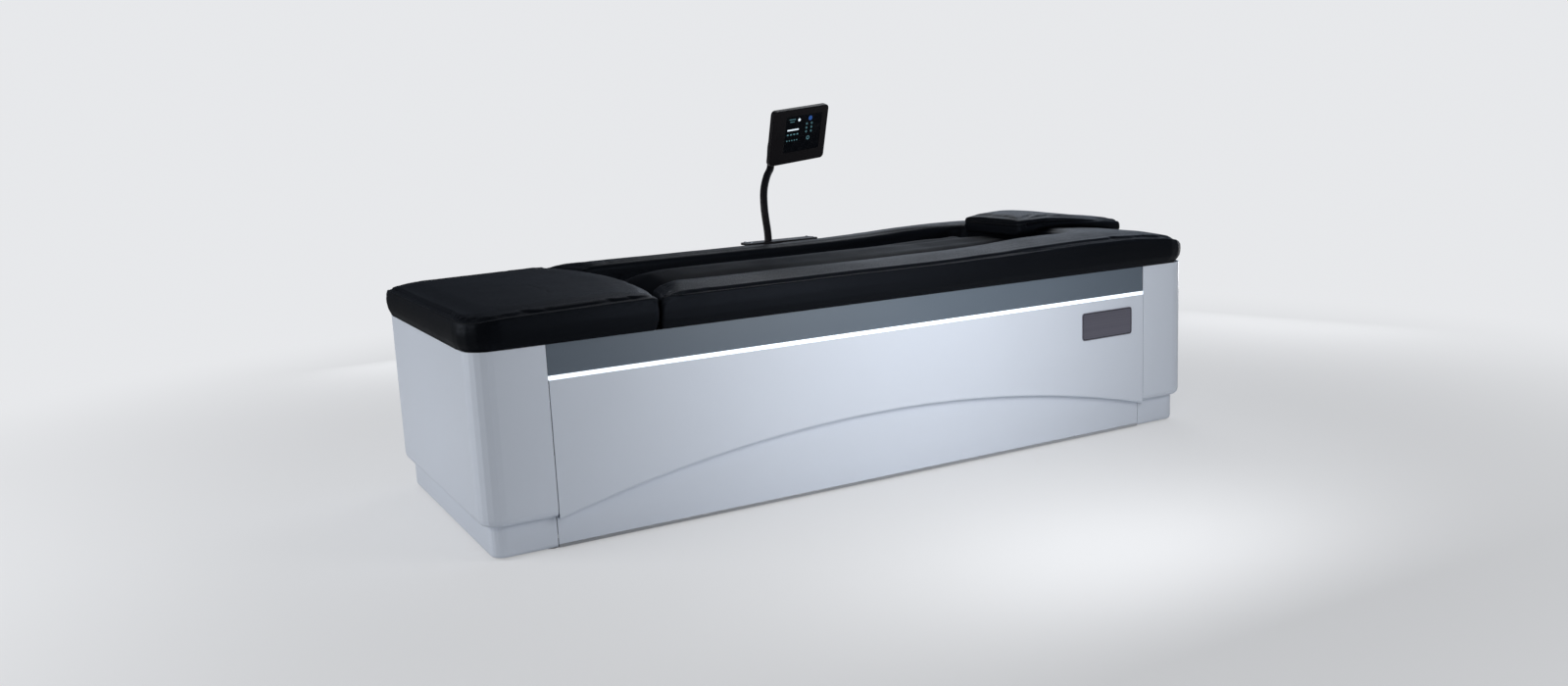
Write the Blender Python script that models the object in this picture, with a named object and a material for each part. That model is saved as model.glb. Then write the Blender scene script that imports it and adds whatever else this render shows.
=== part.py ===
"""Hydrotherapy massage table, built as separate named pieces with their real joints.

The frame: +X runs from the foot end to the head end, +Y points to the side that
carries the control panel, +Z is up. The origin is on the floor under the middle of
the table. All sizes are in metres. A rear piece is its front piece turned half a
turn about Z, and a foot-end piece is its head-end piece turned the same way.
"""
import math

import bmesh
import bpy
from mathutils import Euler, Vector

# Overall sizes
body_length = 2.26
body_width = 0.865
body_top = 0.510
cushion_overhang = 0.015
fit_gap = 0.0003
cut_overrun = 0.004
round_sides = 12
half_turn = math.pi
quarter_turn = math.pi / 2

# Outer shells
cover_length = 0.184
cover_bottom = 0.0875
cover_wall = 0.004
cover_corner_radius = 0.058
cover_edge_radius = 0.018
seam_width = 0.002
skirt_inset = 0.023
skirt_bottom = 0.006
skirt_wall = 0.004
skirt_edge_radius = 0.010
skirt_tuck = 0.030
corner_steps = 6
edge_steps = 3

# Side panels, fascias, light strips and kick rails
panel_wall = 0.003
arch_rise = 0.122
arch_end_height = 0.082
arch_edge_radius = 0.006
arch_stations = 24
arch_skirt_tuck = 0.031
led_bottom = 0.424
led_height = 0.010
led_depth = 0.006
led_recess = 0.0008
fascia_recess = 0.003
kick_rail_height = 0.008
kick_rail_depth = 0.010

# Name plate
plate_width = 0.196
plate_height = 0.083
plate_corner = 0.009
plate_thickness = 0.0025
plate_set_back = 0.148
plate_centre_z = 0.3505

# Base frame, posts and deck frame
tube_wall = 0.0025
base_tube = 0.040
base_bottom = 0.030
frame_end_gap = 0.070
frame_side_gap = 0.0925
cross_overrun = 0.050
post_spacing_share = 0.4425
deck_tube_width = 0.060
deck_tube_height = 0.030
tab_width = 0.030
tab_height = 0.020
tab_upper_z = 0.380
tab_lower_z = 0.105
tab_end_y = 0.200

# Levelling feet
foot_radius = 0.030
foot_pad_height = 0.008
foot_neck_radius = 0.010
foot_neck_height = 0.014
foot_stem_radius = 0.006
foot_stem_top = 0.045
foot_set_back = 0.110
stem_clearance = 0.0005

# Water tub, membrane and clamp frame
trough_foot_run = 0.510
trough_head_run = 0.330
trough_side_gap = 0.040
tub_corner = 0.040
tub_wall = 0.005
tub_depth = 0.275
flange_width = 0.060
flange_thickness = 0.003
membrane_thickness = 0.0025
membrane_grip = 0.045
board_thickness = 0.012
board_inset = 0.010

# Upholstery
pad_side = 0.076
pad_crown = 0.019
pad_head_rise = 0.014
pad_rise_before_well = 0.500
pad_rise_end_before_well = 0.080
pad_edge_rise_share = 0.40
pad_head_drop = 0.028
pad_drop_after_well = 0.040
pad_crown_keep_share = 0.36
pad_edge_drop_power = 3.0
pad_crown_drop_power = 1.0
foot_pad_drop = 0.010
foot_pad_run_share = 0.58
foot_pad_corner_shrink_share = 0.22
pad_corner_radius = 0.090
arc_apex_run = 0.040
arc_radius = 1.300
arc_seam = 0.0045
well_side_margin = 0.030
well_head_margin = 0.020
well_corner = 0.060
pad_slack = 0.0006

# Membrane dome
dome_height = 0.097
dome_edge_clearance = 0.002
dome_foot_ramp = 0.120
dome_head_ramp = 0.080
dome_power = 2.4

# Pillow
pillow_overlap = 0.078
pillow_length = 0.428
pillow_half_width = 0.148
pillow_neck_height = 0.0595
pillow_head_height = 0.046
pillow_foot_dip = 0.010
pillow_head_drop = 0.0366
pillow_sink = 0.0004
pillow_membrane_gap = 0.003

# Guide rails, carriage and jets
guide_radius = 0.008
guide_side_gap = 0.100
guide_height = 0.037
guide_end_gap = 0.022
pedestal_length = 0.030
pedestal_width = 0.036
pedestal_height = 0.055
carriage_rest_shift = 0.010
carriage_half_length = 0.095
carriage_side_reach = 0.045
carriage_plate_thickness = 0.006
bearing_length = 0.030
bearing_half_width = 0.017
bearing_below = 0.016
bearing_above = 0.0155
bearing_clearance = 0.0004
bearing_offset = 0.070
manifold_half_length = 0.030
manifold_half_width = 0.150
manifold_height = 0.030
riser_radius = 0.014
riser_height = 0.105
rotor_half_spacing = 0.110
rotor_gap = 0.0006
rotor_hub_radius = 0.020
rotor_hub_height = 0.026
rotor_arm_half_length = 0.066
rotor_arm_half_width = 0.008
rotor_arm_half_height = 0.007
nozzle_radius = 0.011
nozzle_tip_radius = 0.006
nozzle_height = 0.040
nozzle_bore = 0.003
hose_port_y = -0.100
hose_radius = 0.012

# Belt drive
belt_pitch_radius = 0.030
belt_thickness = 0.0025
belt_height = 0.012
belt_lift = 0.018
pulley_end_gap = 0.060
pulley_flange = 0.004
pulley_flange_thickness = 0.002
pulley_shaft_radius = 0.006
shaft_clearance = 0.0005
shaft_reach = 0.010
belt_clearance = 0.0006
clamp_half_length = 0.030
clamp_margin = 0.008
clamp_below = 0.006
motor_radius = 0.036
motor_height = 0.085
motor_flange_radius = 0.046
motor_flange_thickness = 0.006
idler_boss_radius = 0.014
idler_boss_height = 0.016

# Pump, pipes and heater
pump_y = 0.160
pump_axis_z = 0.150
pump_tray_thickness = 0.004
pump_tray_margin = 0.015
pump_tray_half_width = 0.120
pump_motor_radius = 0.064
pump_motor_length = 0.190
pump_motor_cap = 0.016
pump_motor_groove = 0.004
pump_foot_half_width = 0.045
pump_foot_half_length = 0.060
housing_radius = 0.072
housing_length = 0.080
housing_wall = 0.010
housing_neck_radius = 0.028
housing_neck_length = 0.022
housing_tub_gap = 0.170
port_radius = 0.018
outlet_radius = 0.024
outlet_height = 0.092
impeller_radius = 0.052
impeller_disc = 0.005
impeller_vane_depth = 0.022
impeller_vane_thickness = 0.004
impeller_vanes = 5
impeller_gap = 0.004
impeller_shaft_radius = 0.008
impeller_shaft_reach = 0.030
pipe_radius = 0.020
pipe_wall = 0.005
sump_run = 0.120
pipe_bend = 0.055
heater_radius = 0.036
heater_cap_radius = 0.044
heater_cap = 0.010
heater_half_length = 0.095
heater_z = 0.330
inlet_y = -0.180

# Drain valve
drain_run = 0.160
drain_y = 0.160
drain_pipe_radius = 0.014
valve_body_radius = 0.024
valve_body_height = 0.050
valve_neck = 0.022
drain_length = 0.120
valve_stem_radius = 0.006
valve_stem_length = 0.014
lever_length = 0.090
lever_half_width = 0.009
lever_thickness = 0.004
lever_hub_radius = 0.012

# Control box, power inlet and mains switch
box_half_width = 0.130
box_side_gap = 0.060
box_height = 0.230
box_wall = 0.003
box_overlap = 0.008
box_lid_height = 0.012
inlet_centre_y = -0.200
inlet_centre_z = 0.180
inlet_half_width = 0.027
inlet_half_height = 0.036
inlet_flange = 0.005
inlet_proud = 0.003
inlet_depth = 0.034
socket_half_width = 0.013
socket_half_height = 0.010
socket_depth = 0.020
socket_drop = 0.014
switch_radius = 0.0105
switch_half_width = 0.009
switch_lift = 0.018
switch_pocket_margin = 0.001
switch_set_back = 0.004
switch_pin_radius = 0.0015
switch_pin_reach = 0.002
switch_pin_sides = 8

# Panel arm
arm_x = 0.088
arm_side_gap = 0.0525
saddle_foot_x = 0.000
saddle_length = 0.260
saddle_half_width = 0.034
saddle_thickness = 0.007
saddle_corner = 0.012
socket_radius = 0.0155
socket_wall_gap = 0.0008
arm_radius = 0.0122
arm_bore_gap = 0.0004
arm_seat_depth = 0.060
arm_sides = 10
arm_smooth_steps = 4

# Control panel
panel_offset = (0.130, 0.005, 0.9517)
panel_yaw = 11.6
panel_lean = 19.1
panel_roll = -5.3
panel_width = 0.232
panel_height = 0.184
panel_depth = 0.024
panel_corner = 0.013
panel_corner_steps = 3
panel_back_bevel = 0.006
panel_front_bevel = 0.002
screen_width = 0.152
screen_height = 0.122
screen_shift_x = 0.012
screen_shift_z = 0.008
screen_pocket = 0.003
screen_thickness = 0.0018
screen_corner = 0.004
screen_gap = 0.0005
tilt_set_back = 0.034
lug_half_width = 0.007
lug_radius = 0.010
lug_plate_half_width = 0.030
lug_plate_half_height = 0.024
lug_plate_thickness = 0.004
fork_gap = 0.0006
fork_ear = 0.006
fork_reach = 0.0205
fork_bridge = 0.006
fork_half_height = 0.011
fork_neck = 0.032
fork_neck_step = 0.0004
tilt_pin_radius = 0.004
tilt_pin_gap = 0.0004

# Places worked out from the sizes above
half_length = body_length / 2
half_width = body_width / 2
seam_x = half_length - cover_length
plate_centre_x = seam_x - plate_set_back
frame_end_x = half_length - frame_end_gap
foot_spacing = frame_end_x - foot_set_back
post_spacing = half_length * post_spacing_share
rail_inner_y = half_width - frame_side_gap
trough_foot_x = trough_foot_run - half_length
trough_head_x = half_length - trough_head_run
trough_half_width = rail_inner_y - trough_side_gap
panel_half_length = seam_x - seam_width / 2
top_half_length = half_length + cushion_overhang
top_half_width = half_width + cushion_overhang
deck_top = body_top - fit_gap
board_bottom = deck_top - board_thickness
deck_tube_top = board_bottom - fit_gap
deck_tube_bottom = deck_tube_top - deck_tube_height
base_top = base_bottom + base_tube
post_half = base_tube / 2
rail_mid_y = rail_inner_y + post_half
cross_end_x = frame_end_x - post_half
tub_flange_top = board_bottom + flange_thickness
membrane_bottom = tub_flange_top + fit_gap
membrane_top = membrane_bottom + membrane_thickness
clamp_bottom = membrane_top + fit_gap
tub_floor_top = tub_flange_top - tub_depth
tub_floor_bottom = tub_floor_top - tub_wall
trough_mid_x = (trough_foot_x + trough_head_x) / 2
trough_half_length = (trough_head_x - trough_foot_x) / 2
cross_spacing = trough_half_length + cross_overrun
arc_apex_x = trough_foot_x + arc_apex_run
rail_pad_inner_y = trough_half_width - well_side_margin
well_head_x = trough_head_x - well_head_margin
pad_rise_start_x = well_head_x - pad_rise_before_well
pad_rise_end_x = well_head_x - pad_rise_end_before_well
pad_drop_start_x = well_head_x + pad_drop_after_well
pillow_foot_x = well_head_x - pillow_overlap
guide_half_spacing = trough_half_width - guide_side_gap
carriage_centre_x = trough_mid_x + carriage_rest_shift
carriage_half_width = guide_half_spacing + carriage_side_reach
housing_face_x = trough_foot_x - housing_tub_gap
sump_x = trough_foot_x + sump_run
drain_x = trough_head_x - drain_run
box_centre_y = box_side_gap + box_half_width - rail_inner_y
arm_y = half_width - arm_side_gap
panel_centre = (arm_x + panel_offset[0], arm_y + panel_offset[1], panel_offset[2])
pad_bottom = body_top
arc_centre_x = arc_apex_x - arc_radius
led_top = led_bottom + led_height
guide_z = tub_floor_top + guide_height
carriage_bottom = guide_z + bearing_above + fit_gap
carriage_top = carriage_bottom + carriage_plate_thickness
manifold_bottom = carriage_top + fit_gap
riser_top = manifold_bottom + manifold_height + riser_height
rotor_bottom = riser_top + rotor_gap
belt_bottom = tub_floor_top + belt_lift
drive_x = trough_foot_x + pulley_end_gap
idler_x = trough_head_x - pulley_end_gap
housing_front_x = housing_face_x + housing_length
pump_tray_top = base_top + fit_gap + pump_tray_thickness
rail_crest_z = pad_bottom + pad_slack + pad_side + pad_crown
saddle_z = rail_crest_z + fit_gap
pillow_rest_z = membrane_top + dome_height + pillow_membrane_gap
pillow_block_rest_z = rail_crest_z + pad_head_rise - pillow_sink
pillow_head_rest_z = pillow_block_rest_z - pillow_head_drop
outlet_x = housing_face_x + housing_length / 2
outlet_top = pump_axis_z + outlet_height


# Shapes that the pieces share

def box(bm, low, high):
    """Add an upright box between two corners."""
    spots = [(x, y, z) for x in (low[0], high[0]) for y in (low[1], high[1]) for z in (low[2], high[2])]
    verts = [bm.verts.new(spot) for spot in spots]
    for face in ((0, 1, 3, 2), (4, 6, 7, 5), (0, 4, 5, 1), (2, 3, 7, 6), (0, 2, 6, 4), (1, 5, 7, 3)):
        bm.faces.new([verts[i] for i in face])


def loft(bm, rings, closed=False):
    """Skin rings of equal point counts; closed joins the last ring to the first."""
    rows = [[bm.verts.new(point) for point in ring] for ring in rings]
    pairs = list(zip(rows, rows[1:]))
    if closed:
        pairs.append((rows[-1], rows[0]))
    for first, second in pairs:
        for i in range(len(first)):
            j = (i + 1) % len(first)
            bm.faces.new((first[i], first[j], second[j], second[i]))
    if not closed:
        bm.faces.new(rows[0][::-1])
        bm.faces.new(rows[-1])


def circle(radius, height, sides=round_sides, centre=(0, 0)):
    """Points of a level circle."""
    turn = 2 * math.pi / sides
    return [(centre[0] + radius * math.cos(i * turn), centre[1] + radius * math.sin(i * turn), height)
            for i in range(sides)]


def turned(bm, profile, sides=round_sides, centre=(0, 0), hollow=False):
    """Turn (radius, height) points about a vertical axis; hollow closes the profile on itself."""
    loft(bm, [circle(radius, height, sides, centre) for radius, height in profile], hollow)


def clear_of(radius, sides=round_sides):
    """Corner radius of a many-sided bore whose flats clear a round piece."""
    return radius / math.cos(math.pi / sides)


def rounded_rect(width, depth, radius, steps, centre=(0, 0)):
    """Outline of a rectangle with round corners, as (u, v) points."""
    points = []
    for quarter in range(4):
        sign_u = 1 if quarter in (0, 3) else -1
        sign_v = 1 if quarter in (0, 1) else -1
        corner_u = centre[0] + sign_u * (width / 2 - radius)
        corner_v = centre[1] + sign_v * (depth / 2 - radius)
        for step in range(steps + 1):
            angle = quarter_turn * (quarter + step / steps)
            points.append((corner_u + radius * math.cos(angle), corner_v + radius * math.sin(angle)))
    return points


def swept_tube(bm, path, radius, sides=round_sides):
    """Sweep a round section along a path, with flat ends square to it."""
    path = [Vector(point) for point in path]
    steps = [b - a for a, b in zip(path, path[1:])]
    ways = [steps[0]] + [a.normalized() + b.normalized() for a, b in zip(steps, steps[1:])] + [steps[-1]]
    side = ways[0].orthogonal().normalized()
    rings = []
    for point, way in zip(path, ways):
        way = way.normalized()
        side = (side - way * side.dot(way)).normalized()
        other = way.cross(side)
        rings.append([point + radius * (side * math.cos(a) + other * math.sin(a))
                      for a in (2 * math.pi * i / sides for i in range(sides))])
    loft(bm, rings)


def smooth_path(points, steps):
    """Catmull-Rom curve through the points, end points included."""
    points = [Vector(point) for point in points]
    ends = [2 * points[0] - points[1]] + points + [2 * points[-1] - points[-2]]
    path = []
    for a, b, c, d in zip(ends, ends[1:], ends[2:], ends[3:]):
        for step in range(steps):
            t = step / steps
            path.append(0.5 * (2 * b + (c - a) * t + (2 * a - 5 * b + 4 * c - d) * t ** 2
                               + (3 * b - a - 3 * c + d) * t ** 3))
    return path + [points[-1]]


def elbow(start, corner, end, bend, steps=5):
    """Path with two straight runs and a round bend between them."""
    start, corner, end = Vector(start), Vector(corner), Vector(end)
    before = corner + (start - corner).normalized() * bend
    after = corner + (end - corner).normalized() * bend
    path = [start]
    for step in range(steps + 1):
        t = step / steps
        path.append(before * (1 - t) ** 2 + corner * 2 * t * (1 - t) + after * t ** 2)
    return path + [end]


# Objects, materials and cuts

def clear_scene():
    """Remove every object of the scene."""
    for obj in list(bpy.data.objects):
        bpy.data.objects.remove(obj, do_unlink=True)


def paint(obj, colour, roughness, metallic=0.0):
    """Give an object its own Principled material."""
    material = bpy.data.materials.new(obj.name)
    material.use_nodes = True
    shader = material.node_tree.nodes["Principled BSDF"]
    shader.inputs["Base Color"].default_value = (*colour, 1.0)
    shader.inputs["Roughness"].default_value = roughness
    shader.inputs["Metallic"].default_value = metallic
    material.diffuse_color = (*colour, 1.0)
    obj.data.materials.append(material)


def add_object(name, mesh, place, turn, parent):
    """Link an object that shows a mesh."""
    obj = bpy.data.objects.new(name, mesh)
    obj.location = place
    obj.rotation_euler = turn
    obj.parent = parent
    bpy.context.collection.objects.link(obj)
    return obj


def piece(name, bm, look, place=(0, 0, 0), turn=(0, 0, 0), parent=None):
    """Turn a bmesh into a named, painted object with faces outwards."""
    bmesh.ops.recalc_face_normals(bm, faces=bm.faces)
    mesh = bpy.data.meshes.new(name)
    bm.to_mesh(mesh)
    bm.free()
    mesh.shade_smooth()
    mesh.set_sharp_from_angle(angle=math.radians(34))
    obj = add_object(name, mesh, place, turn, parent)
    paint(obj, *look)
    return obj


def helper(name, bm, target):
    """A hidden cutter or joiner in the target's own frame."""
    bmesh.ops.recalc_face_normals(bm, faces=bm.faces)
    mesh = bpy.data.meshes.new(name)
    bm.to_mesh(mesh)
    bm.free()
    obj = add_object(name, mesh, target.location, target.rotation_euler, target.parent)
    obj.rotation_mode = target.rotation_mode
    obj.hide_render = True
    obj.display_type = "WIRE"
    return obj


def combine(target, bm, operation):
    """Cut a bmesh from an object, or join it on, with an exact Boolean."""
    count = len(target.modifiers)
    other = helper(f"{target.name}_{operation.lower()}_{count}", bm, target)
    modifier = target.modifiers.new(other.name, "BOOLEAN")
    modifier.operation = operation
    modifier.solver = "EXACT"
    modifier.object = other


def cut(target, bm):
    combine(target, bm, "DIFFERENCE")


def join(target, bm):
    combine(target, bm, "UNION")


# Looks: colour, roughness, metallic
white_shell = ((0.80, 0.83, 0.88), 0.32, 0.0)
grey_fascia = ((0.42, 0.46, 0.51), 0.40, 0.0)
light_lens = ((0.93, 0.96, 1.0), 0.25, 0.0)
brushed_metal = ((0.42, 0.43, 0.46), 0.38, 1.0)
steel_frame = ((0.16, 0.17, 0.18), 0.50, 0.3)
zinc = ((0.62, 0.63, 0.64), 0.35, 1.0)
black_rubber = ((0.015, 0.015, 0.016), 0.70, 0.0)
black_vinyl = ((0.010, 0.011, 0.014), 0.42, 0.0)
black_plastic = ((0.012, 0.012, 0.013), 0.38, 0.0)
tub_plastic = ((0.70, 0.73, 0.75), 0.45, 0.0)
plywood = ((0.46, 0.33, 0.20), 0.70, 0.0)
screen_glass = ((0.006, 0.007, 0.009), 0.08, 0.0)
pump_paint = ((0.05, 0.10, 0.20), 0.45, 0.0)


# Outer shells

def end_stations(inset, start):
    """Points and inward directions along the U round the head end, seen from above."""
    reach = half_length - inset - seam_x
    side = half_width - inset
    radius = cover_corner_radius - inset
    stations = [((start, -side), (0, 1))]
    for sign, first in ((-1, -quarter_turn), (1, 0)):
        centre = (reach - radius, sign * (side - radius))
        for step in range(corner_steps + 1):
            angle = first + quarter_turn * step / corner_steps
            way = (math.cos(angle), math.sin(angle))
            spot = (centre[0] + radius * way[0], centre[1] + radius * way[1])
            stations.append((spot, (-way[0], -way[1])))
    stations.append(((start, side), (0, -1)))
    return stations


def shell_section(height, wall, edge_radius, lip):
    """Section of a moulded shell: (depth inwards, height), with a round lower edge and a lip."""
    section = [(0, height)]
    for step in range(edge_steps + 1):
        angle = quarter_turn * step / edge_steps
        section.append((edge_radius * (1 - math.cos(angle)), edge_radius * (1 - math.sin(angle))))
    section += [(lip, 0), (lip, wall), (edge_radius, wall), (wall, edge_radius), (wall, height)]
    return section


def end_shell(inset, section):
    """Mesh of a U-shaped shell, from seam to seam round the head end."""
    bm = bmesh.new()
    rings = []
    for spot, inwards in end_stations(inset, seam_width / 2):
        rings.append([(spot[0] + inwards[0] * depth, spot[1] + inwards[1] * depth, height)
                      for depth, height in section])
    loft(bm, rings)
    return bm


def end_covers_and_skirts():
    cover_section = shell_section(deck_top - cover_bottom, cover_wall, cover_edge_radius,
                                  skirt_inset - fit_gap)
    skirt_section = shell_section(cover_bottom + skirt_tuck - skirt_bottom, skirt_wall,
                                  skirt_edge_radius, skirt_edge_radius + skirt_wall)
    covers = []
    for end, side, turn in (("head", 1, 0), ("foot", -1, half_turn)):
        covers.append(piece(f"{end}_end_cover", end_shell(0, cover_section), white_shell,
                            (side * seam_x, 0, cover_bottom), (0, 0, turn)))
        piece(f"{end}_end_skirt", end_shell(skirt_inset, skirt_section), white_shell,
              (side * seam_x, 0, skirt_bottom), (0, 0, turn))
    return covers[0]


def arch_height(x):
    """Height of the arched lower edge of a side panel."""
    radius = (seam_x ** 2 + arch_rise ** 2) / (2 * arch_rise)
    return arch_end_height + arch_rise - radius + math.sqrt(radius ** 2 - x ** 2)


def side_panel_mesh():
    """Upper side panel with the arched lower edge and its return lip."""
    bm = bmesh.new()
    top = led_bottom - fit_gap
    lip = skirt_inset - fit_gap
    bevel = arch_edge_radius * (1 - math.sqrt(0.5))
    rings = []
    for step in range(arch_stations + 1):
        x = panel_half_length * (2 * step / arch_stations - 1)
        low = arch_height(x)
        section = [(0, top), (0, low + arch_edge_radius), (bevel, low + bevel), (arch_edge_radius, low),
                   (lip, low), (lip, low + panel_wall), (arch_edge_radius, low + panel_wall),
                   (panel_wall, low + arch_edge_radius), (panel_wall, top)]
        rings.append([(x, depth, height) for depth, height in section])
    loft(bm, rings)
    return bm


def plate_mesh(depth, thickness, low, high):
    """Flat plate over the side, from seam to seam, at a depth behind the outer face."""
    bm = bmesh.new()
    box(bm, (-panel_half_length, depth, low), (panel_half_length, depth + thickness, high))
    return bm


def side_panels():
    """Panels, skirts and fascias of both sides, with the light strips and the kick rails."""
    kick_top = skirt_bottom + kick_rail_height
    skirt_top = arch_end_height + arch_rise + arch_skirt_tuck
    for side, sign, turn in (("front", -1, 0), ("rear", 1, half_turn)):
        place = (0, sign * half_width, 0)
        piece(f"{side}_side_panel", side_panel_mesh(), white_shell, place, (0, 0, turn))
        piece(f"{side}_arch_skirt", plate_mesh(skirt_inset, panel_wall, kick_top + fit_gap, skirt_top),
              white_shell, place, (0, 0, turn))
        piece(f"{side}_fascia", plate_mesh(fascia_recess, panel_wall, led_top + fit_gap, deck_top),
              grey_fascia, place, (0, 0, turn))
        piece(f"{side}_led_strip", plate_mesh(led_recess, led_depth, led_bottom, led_top),
              light_lens, place, (0, 0, turn))
        piece(f"{side}_kick_rail", plate_mesh(skirt_inset, kick_rail_depth, skirt_bottom, kick_top),
              zinc, place, (0, 0, turn))


def name_plate():
    """Bare metal plate on the front panel."""
    bm = bmesh.new()
    outline = rounded_rect(plate_width, plate_height, plate_corner, 4)
    rings = [[(u, depth, v) for u, v in outline] for depth in (0, plate_thickness)]
    loft(bm, rings)
    place = (plate_centre_x, -half_width - fit_gap - plate_thickness, plate_centre_z)
    piece("name_plate", bm, brushed_metal, place)


# Frame

def cross_places():
    """X of the base frame's cross tubes."""
    return (-cross_end_x, trough_mid_x - cross_spacing, trough_mid_x, trough_mid_x + cross_spacing,
            cross_end_x)


def foot_places():
    """Plan places of the six levelling feet."""
    return [(x, sign * rail_mid_y) for x in (-foot_spacing, 0, foot_spacing) for sign in (-1, 1)]


def long_tube(bm, sign, width, bottom, height, inset=0, overrun=0):
    """Box for a long tube on one side, or for its bore when inset."""
    ys = sorted((sign * (rail_inner_y + inset), sign * (rail_inner_y + width - inset)))
    reach = frame_end_x + overrun
    box(bm, (-reach, ys[0], bottom + inset), (reach, ys[1], bottom + height - inset))


def cross_tube(bm, low, high, bottom, height, inset=0):
    """Box for a cross tube that reaches into both long tubes, or for its bore when inset."""
    reach = rail_inner_y + 2 * tube_wall
    box(bm, (low + inset, -reach, bottom + inset), (high - inset, reach, bottom + height - inset))


def side_tab(bm, x, sign, inner, outer, middle):
    """Tab that reaches out from the frame to a side shell."""
    ys = sorted((sign * (inner - tube_wall / 2), sign * (outer - fit_gap)))
    box(bm, (x - tab_width / 2, ys[0], middle - tab_height / 2),
        (x + tab_width / 2, ys[1], middle + tab_height / 2))


def end_tab(bm, sign, y, outer, middle):
    """Tab that reaches out from a frame end to an end shell."""
    xs = sorted((sign * (frame_end_x - tube_wall / 2), sign * (outer - fit_gap)))
    box(bm, (xs[0], y - tab_width / 2, middle - tab_height / 2),
        (xs[1], y + tab_width / 2, middle + tab_height / 2))


def base_frame():
    """Welded ladder of square tubes with eight posts, tabs for the shells and the pump's tray."""
    near = bmesh.new()
    long_tube(near, -1, base_tube, base_bottom, base_tube)
    frame = piece("base_frame", near, steel_frame)
    far, crosses, posts, tabs, tray = (bmesh.new() for _ in range(5))
    long_tube(far, 1, base_tube, base_bottom, base_tube)
    rail_bores, cross_bores, post_bores, drills = (bmesh.new() for _ in range(4))
    for x in cross_places():
        cross_tube(crosses, x - post_half, x + post_half, base_bottom, base_tube)
        cross_tube(cross_bores, x - post_half, x + post_half, base_bottom, base_tube, tube_wall)
    for sign in (-1, 1):
        long_tube(rail_bores, sign, base_tube, base_bottom, base_tube, tube_wall, cut_overrun)
        for x in (-cross_end_x, -post_spacing, post_spacing, cross_end_x):
            y = sign * rail_mid_y
            bore = post_half - tube_wall
            box(posts, (x - post_half, y - post_half, base_top - tube_wall / 2),
                (x + post_half, y + post_half, deck_tube_bottom - fit_gap))
            box(post_bores, (x - bore, y - bore, base_top + tube_wall),
                (x + bore, y + bore, deck_tube_bottom + cut_overrun))
    for x, y in foot_places():
        turned(drills, [(foot_stem_radius + stem_clearance, base_bottom - cut_overrun),
                        (foot_stem_radius + stem_clearance, base_bottom + tube_wall + cut_overrun)],
               centre=(x, y))
    base_tabs(tabs)
    pump_tray(tray)
    for part in (crosses, far, posts, tabs, tray):
        join(frame, part)
    for bore in (rail_bores, cross_bores, post_bores, drills):
        cut(frame, bore)


def base_tabs(bm):
    """Tabs on the posts and the end tubes that carry the panels, covers and skirts."""
    post_face = rail_inner_y + base_tube
    base_mid = base_bottom + base_tube / 2
    for sign in (-1, 1):
        for side in (-1, 1):
            side_tab(bm, side * post_spacing, sign, post_face, half_width - panel_wall, tab_upper_z)
            side_tab(bm, side * post_spacing, sign, post_face, half_width - skirt_inset - panel_wall,
                     tab_lower_z)
            side_tab(bm, side * cross_end_x, sign, post_face, half_width - cover_wall, tab_upper_z)
            end_tab(bm, side, sign * tab_end_y, half_length - skirt_inset - skirt_wall, base_mid)


def pump_tray(bm):
    """Plate across two cross tubes, under the pump."""
    places = cross_places()
    box(bm, (places[0] - pump_tray_margin, pump_y - pump_tray_half_width, base_top - tube_wall / 2),
        (places[1] + pump_tray_margin, pump_y + pump_tray_half_width, pump_tray_top))


def levelling_feet():
    """Rubber-faced feet whose stems screw into the base frame."""
    for x, y in foot_places():
        bm = bmesh.new()
        turned(bm, [(foot_radius, 0), (foot_radius, foot_pad_height), (foot_neck_radius, foot_neck_height),
                    (foot_stem_radius, foot_neck_height), (foot_stem_radius, foot_stem_top)])
        end = "foot" if x < 0 else "head" if x > 0 else "mid"
        side = "front" if y < 0 else "rear"
        piece(f"{side}_{end}_levelling_foot", bm, black_rubber, (x, y, 0))


def deck_frame():
    """Welded ring of flat tubes that carries the tub's flange and the deck board."""
    near = bmesh.new()
    long_tube(near, -1, deck_tube_width, deck_tube_bottom, deck_tube_height)
    frame = piece("deck_frame", near, steel_frame)
    far, crosses, tabs, rail_bores, cross_bores = (bmesh.new() for _ in range(5))
    long_tube(far, 1, deck_tube_width, deck_tube_bottom, deck_tube_height)
    inner = flange_width - post_half
    for low, high in ((-frame_end_x, -frame_end_x + base_tube),
                      (trough_foot_x - inner - deck_tube_width, trough_foot_x - inner),
                      (trough_head_x + inner, trough_head_x + inner + deck_tube_width),
                      (frame_end_x - base_tube, frame_end_x)):
        cross_tube(crosses, low, high, deck_tube_bottom, deck_tube_height)
        cross_tube(cross_bores, low, high, deck_tube_bottom, deck_tube_height, tube_wall)
    middle = (deck_tube_bottom + deck_tube_top) / 2
    for sign in (-1, 1):
        long_tube(rail_bores, sign, deck_tube_width, deck_tube_bottom, deck_tube_height, tube_wall,
                  cut_overrun)
        for side in (-1, 1):
            side_tab(tabs, side * post_spacing, sign, rail_inner_y + deck_tube_width,
                     half_width - fascia_recess - panel_wall, middle)
            end_tab(tabs, side, sign * tab_end_y, half_length - cover_wall, middle)
    for part in (crosses, far, tabs):
        join(frame, part)
    for bore in (rail_bores, cross_bores):
        cut(frame, bore)


# Water tub, membrane and deck

def tub_ring(outset, height):
    """Level ring round the tub, a distance outside its inner wall."""
    outline = rounded_rect(2 * (trough_half_length + outset), 2 * (trough_half_width + outset),
                           tub_corner, 4)
    return [(u, v, height) for u, v in outline]


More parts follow.
